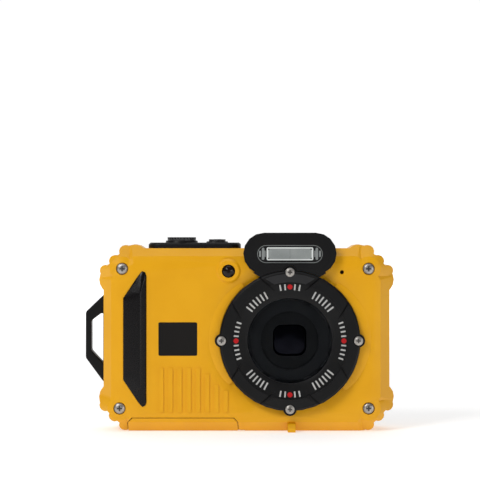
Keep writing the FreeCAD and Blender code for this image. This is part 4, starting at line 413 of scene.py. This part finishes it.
def ring_point(radius, degrees, lift):
    """A point a little proud of the dish."""
    return around_lens(radius, degrees, dish_y(radius) - lift)


def tick(bm, degrees, inner, outer, wide):
    """One printed mark across the dish."""
    half_in = math.degrees(wide / 2 / inner)
    half_out = math.degrees(wide / 2 / outer)
    corners = ((inner, degrees - half_in), (outer, degrees - half_out),
               (outer, degrees + half_out), (inner, degrees + half_in))
    loft(bm, [[ring_point(radius, angle, lift) for radius, angle in corners]
              for lift in (-PRINT_SUNK, INK)])


# The printed marks round the dish: the middles of their groups and their own offsets from these,
# in degrees, and their inner and outer radius
MARK_GROUPS = (
    ((50, 130, 230, 310), (-12.0, -7.2, -2.4, 2.4, 7.2, 12.0), 18.2, 21.2),
    ((90, 270), (-10.2, -5.2, 5.2, 10.2), 19.5, 21.8),
    ((0, 180), (-19.3, -14.5, -9.8, -5.0, 5.0, 9.8, 14.5, 19.3), 19.75, 21.65),
)
# The red dots: their angles and how far from the lens centre they sit
DOT_ANGLES = (0, 90, 180, 270)
DOT_REACH = 20.7


def circle(x, z, radius, steps=24):
    """The points of a circle, in X and Z."""
    turns = [math.tau * i / steps for i in range(steps)]
    return [(x + radius * math.cos(turn), z + radius * math.sin(turn)) for turn in turns]


def stadium(x, z, half_long, radius, steps=12):
    """The points of a round-ended outline, in X and Z."""
    points = []
    for side, start in ((1, -90), (-1, 90)):
        for i in range(steps + 1):
            turn = math.radians(start + 180 * i / steps)
            points.append((x + side * (half_long - radius) + radius * math.cos(turn),
                           z + radius * math.sin(turn)))
    return points


def rounded_outline(left, right, low, high, radius, steps=6):
    """A rectangle with round corners as points, in X and Z."""
    points = []
    for x, z, start in ((right - radius, low + radius, -90), (right - radius, high - radius, 0),
                        (left + radius, high - radius, 90), (left + radius, low + radius, 180)):
        for i in range(steps + 1):
            turn = math.radians(start + 90 * i / steps)
            points.append((x + radius * math.cos(turn), z + radius * math.sin(turn)))
    return points


def band(bm, outer, inner, front, back):
    """A flat ring seen from the front, between two outlines of one count of points."""
    loops = [[(x, y, z) for x, z in outline]
             for outline, y in ((outer, front), (outer, back), (inner, back), (inner, front))]
    made = [[bm.verts.new(Vector(point) * MM) for point in loop] for loop in loops]
    count = len(outer)
    for first, second in zip(made, made[1:] + made[:1]):
        for i in range(count):
            j = (i + 1) % count
            bm.faces.new((first[i], first[j], second[j], second[i]))


def lathe(bm, x, z, profile, steps=32):
    """A turned form about a line along Y; the profile holds pairs of radius and depth."""
    loft(bm, [[(px, y, pz) for px, pz in circle(x, z, radius, steps)] for radius, y in profile])


class CAMERA_OT_materials(bpy.types.Operator):
    """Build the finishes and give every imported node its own"""

    bl_idname = "camera.materials"
    bl_label = "Finishes"

    def execute(self, context):
        build_materials()
        for finish_name, names in NODE_FINISHES.items():
            for name in names:
                node = NODES[name]
                if not node.data.materials:
                    node.data.materials.append(None)
                for index in range(len(node.material_slots)):
                    node.material_slots[index].link = "OBJECT"
                    node.material_slots[index].material = MATERIALS[finish_name]
        for name, node in NODES.items():
            if name in SOFT_EDGES:
                soften(node, SOFT_EDGES[name])
            else:
                shade_by_angle(node, NODE_CORNER)
        return {"FINISHED"}


class CAMERA_OT_ring_prints(bpy.types.Operator):
    """Print the white marks and the four red dots round the lens ring"""

    bl_idname = "camera.ring_prints"
    bl_label = "Ring marks"

    def execute(self, context):
        sizes = context.scene.camera_finish
        bm = bmesh.new()
        for middles, offsets, inner, outer in MARK_GROUPS:
            for middle in middles:
                for offset in offsets:
                    tick(bm, middle + offset, inner, outer, sizes.tick_wide / MM)
        piece("ring_marks", bm, "white_ink")
        bm = bmesh.new()
        for degrees in DOT_ANGLES:
            x, _, z = ring_point(DOT_REACH, degrees, 0)
            outline = circle(x, z, sizes.dot_radius / MM)
            reach = [math.dist(point, LENS) for point in outline]
            loft(bm, [[(px, dish_y(far) - lift, pz) for (px, pz), far in zip(outline, reach)]
                      for lift in (-FORM_SUNK, INK)])
        piece("ring_dots", bm, "red_ink")
        return {"FINISHED"}


# The crescents beside the ring: their start and end in degrees; the radii of their inner side, of
# the end of their top and of their outer foot; the power that shapes their rise from both tips, and
# the share of their width that the tips keep
CRESCENTS = ((130, 216), (-42, 50))
CRESCENT_RADII = (27.2, 29.6, 31.2)
CRESCENT_POWER = 0.7
CRESCENT_TIP = 0.4
CRESCENT_STEPS = 48


class CAMERA_OT_surround(bpy.types.Operator):
    """Raise the low yellow crescents of the shell on both sides of the lens ring"""

    bl_idname = "camera.surround"
    bl_label = "Lens surround"

    def execute(self, context):
        bm = bmesh.new()
        high = context.scene.camera_finish.surround_rise / MM
        side, top, foot = CRESCENT_RADII
        for start, end in CRESCENTS:
            rings = []
            for i in range(CRESCENT_STEPS + 1):
                # Both ends of a crescent run out to no height
                share = math.sin(math.pi * i / CRESCENT_STEPS) ** CRESCENT_POWER
                rise = high * share - PRINT_SUNK
                width = CRESCENT_TIP + (1 - CRESCENT_TIP) * share
                ring = []
                for radius, lift in ((side, -FORM_SUNK), (side, rise), (top, rise),
                                     (foot, -FORM_SUNK)):
                    reach = side + (radius - side) * width
                    ring.append(around_lens(reach, start + (end - start) * i / CRESCENT_STEPS,
                                            SHELL_Y - lift))
                rings.append(ring)
            loft(bm, rings)
        piece("lens_surround", bm, "shell")
        return {"FINISHED"}


# Radius, half angle and height of a facet's inner and outer edge, and the sides along each
FACET_INNER = (22.5, 15.5, 0.38)
FACET_OUTER = (25.7, 22.0, 0.04)
FACET_STEPS = 8


class CAMERA_OT_ring_facets(bpy.types.Operator):
    """Lay the two sloping facets between the ring's petals, at its top and bottom"""

    bl_idname = "camera.ring_facets"
    bl_label = "Ring facets"

    def execute(self, context):
        # The upper facet takes the greyer trim, painted light for the light it catches; the lower
        # one keeps the plain trim
        for name, middle, finish_name in (("upper_ring_facet", 90, "facet"),
                                          ("lower_ring_facet", 270, "trim")):
            bm = bmesh.new()
            rings = []
            for raised in (False, True):
                ring = []
                for (radius, half, rise), way in ((FACET_INNER, -1), (FACET_OUTER, 1)):
                    y = FACET_Y - (rise if raised else -FORM_SUNK)
                    ring += [around_lens(radius, middle + half * way * (1 - 2 * i / FACET_STEPS), y)
                             for i in range(FACET_STEPS + 1)]
                rings.append(ring)
            loft(bm, rings)
            piece(name, bm, finish_name)
        return {"FINISHED"}


# Where the body's screws and the ring's screws sit, in X and Z, and the radius of their heads
BODY_SCREWS = ((-48.0, 62.9), (47.0, 62.9), (-49.0, 9.1), (47.0, 9.1))
EAR_REACH = 26.3
RING_SCREWS = ((LENS[0], LENS[1] + EAR_REACH), (LENS[0], LENS[1] - EAR_REACH),
               (LENS[0] + EAR_REACH, LENS[1]), (LENS[0] - EAR_REACH, LENS[1]))
BODY_HEAD_RADIUS = 2.0
RING_HEAD_RADIUS = 1.7
# Steps of a domed head, as shares of its radius: how far out and how high
HEAD_DOME = ((1.0, 0.0), (0.97, 0.12), (0.86, 0.24), (0.68, 0.33), (0.45, 0.38))
# How deep a dome's foot lies in the flat head under it
DOME_SUNK = 0.2
# Half the length and half the width of a driver's cross, as shares of the head's radius
DRIVER_CROSS = (0.5, 0.15)


def screw_heads(bm, recess_shades, spots, radius, y):
    """Domed heads over flat ones, each with a dark cross painted as the shade of its recess."""
    for x, z in spots:
        steps = [(radius * share, y - radius * rise) for share, rise in HEAD_DOME]
        lathe(bm, x, z, [(radius, y + DOME_SUNK)] + steps)
        crown = y - radius * HEAD_DOME[-1][1]
        long, wide = (radius * share for share in DRIVER_CROSS)
        cross = [(wide, -long), (wide, -wide), (long, -wide), (long, wide), (wide, wide),
                 (wide, long), (-wide, long), (-wide, wide), (-long, wide), (-long, -wide),
                 (-wide, -wide), (-wide, -long)]
        # The cross is a thin dark sheet on the crown: painted shade where the driver's recess would
        # be
        slab(recess_shades, [(x + u, z + v) for u, v in cross], crown - FILM, crown + FORM_SUNK)


class CAMERA_OT_screw_heads(bpy.types.Operator):
    """Dome the heads of the four body screws and the ring's four"""

    bl_idname = "camera.screw_heads"
    bl_label = "Screw heads"

    def execute(self, context):
        recess_shades = bmesh.new()
        bm = bmesh.new()
        screw_heads(bm, recess_shades, BODY_SCREWS, BODY_HEAD_RADIUS, BODY_SCREW_Y)
        piece("body_screw_domes", bm, "screws")
        bm = bmesh.new()
        screw_heads(bm, recess_shades, RING_SCREWS, RING_HEAD_RADIUS, RING_SCREW_Y)
        piece("ring_screw_domes", bm, "screws")
        piece("screw_recess_shades", recess_shades, "recess")
        return {"FINISHED"}


# The grip's outline in X and Z, from its lower left corner round to its upper left one, and the
# crest that its faces rise to: its X and its two ends
GRIP = ((-47.5, 20.1), (-41.9, 11.7), (-40.3, 9.8), (-39.1, 10.2), (-38.7, 11.4),
        (-38.7, 60.4), (-39.1, 61.6), (-40.3, 62.0), (-41.9, 60.1), (-47.5, 51.7))
CREST = (-41.0, 17.5, 53.4)
# Longest side of its outline once it is refined
GRIP_STEP = 1.2
# How far in from the edge towards the crest, and at what share of its rise, its rings lie
GRIP_RISE = ((0.0, -0.33), (0.0, 0.09), (0.05, 0.2), (0.2, 0.34), (0.4, 0.52), (0.6, 0.71),
             (0.78, 0.86), (0.9, 0.95), (0.97, 0.99), (0.99, 1.0))


def finer(outline, step):
    """An outline with extra points, so that no side is longer than a step."""
    points = []
    for (x, z), (next_x, next_z) in zip(outline, outline[1:] + outline[:1]):
        count = max(1, round(math.hypot(next_x - x, next_z - z) / step))
        points += [(x + (next_x - x) * i / count, z + (next_z - z) * i / count)
                   for i in range(count)]
    return points


class CAMERA_OT_grip(bpy.types.Operator):
    """Mould the rubber grip: long faces and slanted ends that rise to a rounded crest"""

    bl_idname = "camera.grip"
    bl_label = "Grip"

    def execute(self, context):
        crest_x, low, high = CREST
        rings = []
        outline = finer(GRIP, GRIP_STEP)
        for share, part in GRIP_RISE:
            y = SHELL_Y - part * context.scene.camera_finish.grip_rise / MM
            ring = []
            for x, z in outline:
                aim = min(max(z, low), high)
                ring.append((x + (crest_x - x) * share, y, z + (aim - z) * share))
            rings.append(ring)
        bm = bmesh.new()
        loft(bm, rings)
        made = piece("moulded_grip", bm, "grip")
        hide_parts("grip_pad")
        return {"FINISHED"}


# The patch's left, right, lower and upper edge and its corner radius
PATCH = (-34.0, -19.05, 29.4, 42.3, 0.6)


class CAMERA_OT_patch(bpy.types.Operator):
    """Print the plain dark patch beside the grip"""

    bl_idname = "camera.patch"
    bl_label = "Plain patch"

    def execute(self, context):
        bm = bmesh.new()
        slab(bm, rounded_outline(*PATCH), SHELL_Y - INK, SHELL_Y + PRINT_SUNK)
        piece("plain_patch", bm, "black_ink")
        return {"FINISHED"}


# The lining of the flash window. Half length and end radius of the mask and of the border's two
# edges; half width, half height and corner radius of the frame's two edges; reach, half height and
# half width of the upright bars beside it; half width and half height of the prism sheet; reach,
# height and radius of its dots; and how far all but the mask and border lie above the middle
FLASH_MASK = (12.7, 3.58)
FLASH_BORDER = ((12.55, 3.4), (12.35, 3.2))
FLASH_FRAME = ((8.95, 2.5, 0.6), (8.3, 2.0, 0.3))
FLASH_BARS = ((9.55, 1.25, 0.2), (10.3, 2.35, 0.5), (11.5, 1.25, 0.35))
FLASH_MIDDLE_BAR = (1.95, 0.13)
FLASH_SHEET = (8.35, 2.05)
FLASH_DOTS = (8.15, 1.75, 0.3)
FLASH_LIFT = 0.1


class CAMERA_OT_flash(bpy.types.Operator):
    """Line the flash window: its bright border, prism sheet, frame, ribs and dots"""

    bl_idname = "camera.flash"
    bl_label = "Flash window"

    def execute(self, context):
        x, z = FLASH
        front, back = FLASH_GLASS_Y - INK, FLASH_GLASS_Y + PRINT_SUNK
        bm = bmesh.new()
        slab(bm, stadium(x, z, *FLASH_MASK), FLASH_GLASS_Y - FILM, back)
        piece("flash_mask", bm, "trim")
        bm = bmesh.new()
        outer, inner = (stadium(x, z, *edge) for edge in FLASH_BORDER)
        band(bm, outer, inner, front, back)
        piece("flash_border", bm, "bulbs")
        z += FLASH_LIFT
        bm = bmesh.new()
        outer, inner = (rounded_outline(x - wide, x + wide, z - tall, z + tall, corner)
                        for wide, tall, corner in FLASH_FRAME)
        band(bm, outer, inner, front - LAYER, back)
        # The frame is near-white: a painted highlight on its polished edges
        piece("flash_frame", bm, "bright_edge")
        bm = bmesh.new()
        for side in (-1, 1):
            for reach, tall, wide in FLASH_BARS:
                slab(bm, stadium_upright(x + reach * side, z, tall, wide), front, back)
        slab(bm, stadium_upright(x, z, *FLASH_MIDDLE_BAR), front - LAYER, back)
        piece("flash_bulbs", bm, "bulbs")
        bm = bmesh.new()
        prism_sheet(bm, x, z, *FLASH_SHEET, front, back)
        piece("flash_prisms", bm, "prisms")
        bm = bmesh.new()
        reach, tall, radius = FLASH_DOTS
        for side in (-1, 1):
            for up in (-1, 1):
                lathe(bm, x + reach * side, z + tall * up,
                      ((radius, front - 2 * LAYER), (radius, back)), steps=12)
        piece("flash_dots", bm, "recess")
        return {"FINISHED"}


def stadium_upright(x, z, half_tall, radius, steps=6):
    """The points of an upright round-ended bar, in X and Z."""
    points = []
    for side, start in ((1, 0), (-1, 180)):
        for i in range(steps + 1):
            turn = math.radians(start + 180 * i / steps)
            points.append((x + radius * math.cos(turn),
                           z + side * (half_tall - radius) + radius * math.sin(turn)))
    return points


# From the top of a prism to the foot beside it, and how deep the feet lie
PRISM_STEP = 0.35
PRISM_DEEP = 0.03


def prism_sheet(bm, x, z, half_wide, half_tall, front, back):
    """A sheet moulded with upright ridges, which spread the flash's light."""
    count = int(2 * half_wide / PRISM_STEP)
    profile = []
    for i in range(count + 1):
        profile.append((x - half_wide + 2 * half_wide * i / count,
                        front if i % 2 else front + PRISM_DEEP))
    profile += [(x + half_wide, back), (x - half_wide, back)]
    loft(bm, [[(px, py, pz) for px, py in profile] for pz in (z - half_tall, z + half_tall)])


# Where the rear keys sit round the keypad's middle: the reach of the four arrow keys, and the
# offsets of the four round keys at its corners; and the place of the record button
ARROW_REACH = 6.45
CORNER_KEY = (8.0, 15.0)
RECORD = (-24.6, 57.6)
# The shapes that the signs are made of, the radius of the record dot, and the thickness of the ink
ARROW = ((-1.1, -0.6), (1.1, -0.6), (0.0, 0.8))
BAR = ((-1.2, -0.18), (1.2, -0.18), (1.2, 0.18), (-1.2, 0.18))
PLAY = ((0.8, -1.0), (0.8, 1.0), (-1.0, 0.0))
RECORD_DOT = 1.2
KEY_INK = 0.8 * INK
# The bars' heights in the menu sign, the scale of the two in the delete sign, and the scales in
# length and width and the offsets of the four in the mode sign
MENU_ROWS = (-0.8, 0.0, 0.8)
DELETE_SCALE = 0.75
MODE_SCALES = (0.32, 2.2)
MODE_OFFSETS = (-0.6, 0.6)


def key_signs():
    """The rear keys' plain signs: body, place, depth, outlines round that place, and ink.

    An outline's first value runs along X, which is to the left as seen from behind.
    """
    reach = ARROW_REACH
    signs = []
    for body, turns, (x, z) in (("up_key_body", 0, (0, reach)), ("left_key_body", 3, (-reach, 0)),
                                ("down_key_body", 2, (0, -reach)),
                                ("right_key_body", 1, (reach, 0))):
        points = []
        for u, v in ARROW:
            for _ in range(turns):
                u, v = v, -u
            points.append((u, v))
        signs.append((body, (KEYPAD[0] + x, KEYPAD[1] + z), ARROW_Y, [points], "white_ink"))
    bars = [[(u, v + row) for u, v in BAR] for row in MENU_ROWS]
    size = DELETE_SCALE
    across = [[(u * size - v * side * size, v * size + u * side * size) for u, v in BAR]
              for side in (-1, 1)]
    long, wide = MODE_SCALES
    grid = [[(u * long + du, v * wide + dv) for u, v in BAR]
            for du in MODE_OFFSETS for dv in MODE_OFFSETS]
    dx, dz = CORNER_KEY
    for body, side, up, shapes in (("playback_button_body", -1, 1, [PLAY]),
                                   ("mode_button_body", 1, 1, grid),
                                   ("menu_button_body", -1, -1, bars),
                                   ("delete_button_body", 1, -1, across)):
        place = (KEYPAD[0] + dx * side, KEYPAD[1] + dz * up)
        signs.append((body, place, KEY_Y, shapes, "white_ink"))
    signs.append(("record_button_body", RECORD, KEY_Y, [circle(0, 0, RECORD_DOT)], "red_ink"))
    return signs


# Left, right, lower and upper edge and corner radius of the screen's picture area and of the outer
# and inner line of its printed edge
PICTURE = (-13.2, 42.8, 15.0, 57.0, 0.4)
SCREEN_EDGE = ((-15.3, 45.3, 12.2, 59.8, 1.8), (-14.9, 44.9, 12.6, 59.4, 1.4))


class CAMERA_OT_rear(bpy.types.Operator):
    """Print plain signs on the rear keys and line the screen's picture area"""

    bl_idname = "camera.rear"
    bl_label = "Rear signs and screen"

    def execute(self, context):
        for body, (x, z), y, shapes, ink in key_signs():
            bm = bmesh.new()
            for points in shapes:
                slab(bm, [(x + u, z + v) for u, v in points], y + KEY_INK, y - PRINT_SUNK)
            piece(body.replace("_body", "_sign"), bm, ink, body)
        bm = bmesh.new()
        slab(bm, rounded_outline(*PICTURE), SCREEN_Y + LAYER, SCREEN_Y - PRINT_SUNK)
        piece("picture_area", bm, "display")
        bm = bmesh.new()
        outer, inner = (rounded_outline(*edge) for edge in SCREEN_EDGE)
        band(bm, outer, inner, SCREEN_Y + 2 * LAYER, SCREEN_Y - PRINT_SUNK)
        piece("screen_edge", bm, "panel")
        return {"FINISHED"}


# The power sign: outer and inner radius of its ring, half of the ring's gap in degrees, the steps
# round the ring, and half width, lower and upper end of its bar
POWER_RING = (1.5, 1.15, 35)
POWER_STEPS = 20
POWER_BAR = (0.18, 0.2, 1.8)


class CAMERA_OT_power_sign(bpy.types.Operator):
    """Print the open ring and bar on the power button"""

    bl_idname = "camera.power_sign"
    bl_label = "Power sign"

    def execute(self, context):
        x, y, z = POWER
        bm = bmesh.new()
        outer, inner, gap = POWER_RING
        turns = [math.radians(gap + (360 - 2 * gap) * i / POWER_STEPS)
                 for i in range(POWER_STEPS + 1)]
        outline = [(x + outer * math.sin(turn), y + outer * math.cos(turn)) for turn in turns]
        outline += [(x + inner * math.sin(turn), y + inner * math.cos(turn))
                    for turn in reversed(turns)]
        half, low, high = POWER_BAR
        bar = [(x - half, y + low), (x + half, y + low), (x + half, y + high), (x - half, y + high)]
        for points in (outline, bar):
            loft(bm, [[(px, py, level) for px, py in points]
                      for level in (z - PRINT_SUNK, z + INK)])
        piece("power_sign", bm, "white_ink", "power")
        return {"FINISHED"}


# The coil under the shutter button: its middle, lower end, height, radius of its turns and of its
# wire, and count of turns
COIL = ((-25.4, 0.0), 70.8, 3.16, 3.2, 0.15, 4)
# Steps in one turn of a spring or thread, and sides of the spring's wire
TURN_STEPS = 24
WIRE_SIDES = 8


class CAMERA_OT_spring(bpy.types.Operator):
    """Wind the shutter button's spring, as it stands with the button up"""

    bl_idname = "camera.spring"
    bl_label = "Shutter spring"

    def execute(self, context):
        (x, y), low, tall, radius, wire, turns = COIL
        steps = TURN_STEPS * turns
        rings = []
        for i in range(steps + 1):
            turn = math.tau * turns * i / steps
            level = low + wire + (tall - 2 * wire) * i / steps
            ring = []
            for j in range(WIRE_SIDES):
                lean = math.tau * j / WIRE_SIDES
                reach = radius + wire * math.cos(lean)
                ring.append((x + reach * math.cos(turn), y + reach * math.sin(turn),
                             level + wire * math.sin(lean)))
            rings.append(ring)
        bm = bmesh.new()
        loft(bm, rings)
        made = piece("wound_spring", bm, "wire")
        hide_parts("shutter_spring")
        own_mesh(made)
        return {"FINISHED"}


# The latch's ridges: where the first starts, their pitch, width and count, and half their length;
# and the height of their foot and crest
RIDGES = (-41.9, 0.95, 0.5, 6, 2.0)
RIDGE_Z = (0.12, 0.02)
# The tripod bush's thread: its pitch, count of turns, start and end height, and the radius and
# height of its flank's three points
THREAD_PITCH = 1.27
THREAD_TURNS = 4
THREAD_SPAN = (0.2, 5.4)
THREAD_FLANK = ((2.58, 0.0), (2.38, 0.32), (2.58, 0.64))
# The cell's contacts: their places in X, their place in Y, half their sides, and their two faces
CONTACTS_X = (-31.0, -27.2, -23.4, -19.6)
CONTACTS_Y = -5.3
CONTACT_HALF = (1.2, 1.6)
CONTACT_Z = (5.38, 5.42)


class CAMERA_OT_base(bpy.types.Operator):
    """Add the latch's ridges, the tripod bush's thread and the battery's contacts"""

    bl_idname = "camera.base"
    bl_label = "Base details"

    def execute(self, context):
        bm = bmesh.new()
        start, pitch, wide, count, half = RIDGES
        foot, crest = RIDGE_Z
        for i in range(count):
            x = start + pitch * i
            loft(bm, [[(x, y, foot), (x + wide / 2, y, crest), (x + wide, y, foot)]
                      for y in (-half, half)])
        piece("latch_ridges", bm, "keys", "latch")
        bm = bmesh.new()
        low, high = THREAD_SPAN
        rings = []
        for i in range(THREAD_TURNS * TURN_STEPS + 1):
            turn = math.tau * i / TURN_STEPS
            rise = low + THREAD_PITCH * i / TURN_STEPS
            ring = []
            for radius, lift in THREAD_FLANK:
                ring.append((TRIPOD[0] + radius * math.cos(turn),
                             TRIPOD[1] + radius * math.sin(turn), min(rise + lift, high)))
            rings.append(ring)
        loft(bm, rings)
        piece("tripod_thread_turns", bm, "screws")
        bm = bmesh.new()
        half_x, half_y = CONTACT_HALF
        for x in CONTACTS_X:
            loft(bm, [[(x + half_x * u, CONTACTS_Y + half_y * v, z)
                       for u, v in ((-1, -1), (1, -1), (1, 1), (-1, 1))] for z in CONTACT_Z])
        piece("battery_contacts", bm, "gold")
        return {"FINISHED"}


def soft_room(scene):
    """White behind the camera and a dimmer room in front of it, so that black trim stays black."""
    world = bpy.data.worlds.new("soft_room")
    world.use_nodes = True
    tree = world.node_tree
    tree.nodes.clear()
    place = add(tree, "ShaderNodeTexCoord")
    parts = add(tree, "ShaderNodeSeparateXYZ", links={"Vector": (place, "Generated")})
    bright = add(tree, "ShaderNodeMapRange",
                 {"From Min": 0.2, "From Max": 0.8, "To Min": 0.14, "To Max": 1.02},
                 {"Value": (parts, "Y")})
    # The view itself shows white all round, whichever side it is from
    ray = add(tree, "ShaderNodeLightPath")
    seen = add(tree, "ShaderNodeMath", {"operation": "MAXIMUM"},
               {0: (bright, "Result"), 1: (ray, "Is Camera Ray")})
    shade = add(tree, "ShaderNodeBackground", {"Color": (1, 1, 1, 1)},
                {"Strength": (seen, "Value")})
    add(tree, "ShaderNodeOutputWorld", links={"Surface": (shade, "Background")})
    scene.world = world


def lit_paper():
    """Seamless pale paper with a glow of its own, so that it reads as white."""
    made = finish("seamless_paper", "#E6E6E6", "#E3E3E3", grain_mm=1.5, grain_deep_mm=0.02,
                  rough=0.9, cloud_mm=120.0, **{"Emission Color": (1, 1, 1, 1)})
    tree = made.node_tree
    place = add(tree, "ShaderNodeTexCoord")
    parts = add(tree, "ShaderNodeSeparateXYZ", links={"Vector": (place, "Object")})
    # No glow far in front of the part, but in the view itself, which keeps the black trim black
    lit = add(tree, "ShaderNodeMapRange", {"From Min": -0.4, "From Max": -0.14},
              {"Value": (parts, "Y")})
    ray = add(tree, "ShaderNodeLightPath")
    seen = add(tree, "ShaderNodeMath", {"operation": "MAXIMUM"},
               {0: (lit, "Result"), 1: (ray, "Is Camera Ray")})
    reach = add(tree, "ShaderNodeVectorMath", {"operation": "LENGTH"}, {0: (place, "Object")})
    glow = add(tree, "ShaderNodeMapRange",
               {"From Min": 0.25, "From Max": 1.0, "To Min": 0.42, "To Max": 1.0},
               {"Value": (reach, "Value")})
    both = add(tree, "ShaderNodeMath", {"operation": "MULTIPLY"},
               {0: (glow, "Result"), 1: (seen, "Value")})
    shader = next(node for node in tree.nodes if node.bl_idname == "ShaderNodeBsdfPrincipled")
    tree.links.new(both.outputs["Value"], shader.inputs["Emission Strength"])
    return made


# Softboxes: name, place and width in metres, power in watts
SOFTBOXES = (
    ("top_softbox", (0.0, -0.1, 1.1), 1.2, 4.5),
    ("key_softbox", (-0.6, -0.7, 0.75), 0.4, 6.2),
    ("side_softbox", (0.75, -0.6, 0.12), 0.4, 1.4),
)


# What the softboxes aim at, where the view is taken from, its lens and sensor in millimetres and
# half the side of the floor, in metres
AIM = (0.0, 0.0, 0.035)
VIEW_FROM = (-0.00257, -0.650, 0.0740)
VIEW_LENS = 124.27
VIEW_SENSOR = 36.0
FLOOR_HALF = 8.0


class CAMERA_OT_stage(bpy.types.Operator):
    """Set the pale floor, the soft lights and the camera"""

    bl_idname = "camera.stage"
    bl_label = "Studio"

    def execute(self, context):
        scene = context.scene
        bm = bmesh.new()
        bmesh.ops.create_grid(bm, x_segments=1, y_segments=1, size=FLOOR_HALF)
        mesh = bpy.data.meshes.new("floor")
        bm.to_mesh(mesh)
        bm.free()
        floor = bpy.data.objects.new("floor", mesh)
        scene.collection.objects.link(floor)
        mesh.materials.append(lit_paper())
        soft_room(scene)
        for name, place, size, power in SOFTBOXES:
            data = bpy.data.lights.new(name, "AREA")
            data.size = size
            data.energy = power
            light = bpy.data.objects.new(name, data)
            light.location = place
            aim = Vector(AIM) - Vector(place)
            light.rotation_euler = aim.to_track_quat("-Z", "Y").to_euler()
            scene.collection.objects.link(light)
        data = bpy.data.cameras.new("view")
        data.sensor_width = VIEW_SENSOR
        data.lens = VIEW_LENS
        data.clip_start = 0.01
        view = bpy.data.objects.new("view", data)
        view.location = VIEW_FROM
        view.rotation_euler = (math.radians(90), 0, 0)
        scene.collection.objects.link(view)
        scene.camera = view
        scene.view_settings.view_transform = "Standard"
        return {"FINISHED"}


def tone(label, words, code):
    """A colour that the panel shows, with its default as sRGB hex."""
    return bpy.props.FloatVectorProperty(name=label, description=words, subtype="COLOR", size=4,
                                         min=0.0, max=1.0, default=linear(code))


class CameraFinish(bpy.types.PropertyGroup):
    """Colours and print sizes that a user would change"""

    shell_light: tone("Shell light", "Lighter tone of the painted shell", "#E9A90C")
    shell_dark: tone("Shell dark", "Darker tone of the painted shell", "#E4A307")
    trim_light: tone("Trim light", "Lighter tone of the black trim", "#121213")
    trim_dark: tone("Trim dark", "Darker tone of the black trim", "#0C0C0D")
    grip_light: tone("Grip light", "Lighter tone of the rubber grip", "#0E0C0D")
    grip_dark: tone("Grip dark", "Darker tone of the rubber grip", "#0A0809")
    key_light: tone("Key light", "Lighter tone of the keys", "#2E2E30")
    key_dark: tone("Key dark", "Darker tone of the keys", "#242426")
    ink_colour: tone("Ink", "Colour of the marks on the lens ring and the keys", "#BDBDBB")
    dot_colour: tone("Dot", "Colour of the dots on the lens ring", "#C42024")
    tick_wide: bpy.props.FloatProperty(
        name="Mark width", description="Width of a printed mark on the lens ring",
        default=0.0006, min=0.0002, max=0.0014, unit="LENGTH", precision=5)
    dot_radius: bpy.props.FloatProperty(
        name="Dot radius", description="Radius of a dot on the lens ring",
        default=0.00098, min=0.0003, max=0.0015, unit="LENGTH", precision=5)
    surround_rise: bpy.props.FloatProperty(
        name="Surround height", description="Height of the crescents beside the lens ring",
        default=0.00042, min=0.0001, max=0.0006, unit="LENGTH", precision=5)
    grip_rise: bpy.props.FloatProperty(
        name="Grip height", description="Height of the grip's crest over the shell",
        default=0.00215, min=0.001, max=0.0022, unit="LENGTH", precision=5)


class CAMERA_PT_panel(bpy.types.Panel):
    """Lists the steps that dress the camera"""

    bl_idname = "CAMERA_PT_panel"
    bl_label = "Waterproof camera"
    bl_space_type = "VIEW_3D"
    bl_region_type = "UI"
    bl_category = "Camera"

    def draw(self, context):
        for name in CameraFinish.__annotations__:
            self.layout.prop(context.scene.camera_finish, name)
        for step in STEPS:
            self.layout.operator(step.bl_idname)


STEPS = (CAMERA_OT_materials, CAMERA_OT_ring_prints, CAMERA_OT_ring_facets, CAMERA_OT_surround,
         CAMERA_OT_screw_heads, CAMERA_OT_grip, CAMERA_OT_patch, CAMERA_OT_flash, CAMERA_OT_rear,
         CAMERA_OT_power_sign, CAMERA_OT_spring, CAMERA_OT_base, CAMERA_OT_stage)


def register():
    bpy.utils.register_class(CameraFinish)
    bpy.types.Scene.camera_finish = bpy.props.PointerProperty(type=CameraFinish)
    for step in STEPS:
        bpy.utils.register_class(step)
    bpy.utils.register_class(CAMERA_PT_panel)


def unregister():
    bpy.utils.unregister_class(CAMERA_PT_panel)
    for step in reversed(STEPS):
        bpy.utils.unregister_class(step)
    del bpy.types.Scene.camera_finish
    bpy.utils.unregister_class(CameraFinish)


def main():
    register()
    for step in STEPS:
        group, name = step.bl_idname.split(".")
        getattr(getattr(bpy.ops, group), name)()


if __name__ == "__main__":
    main()
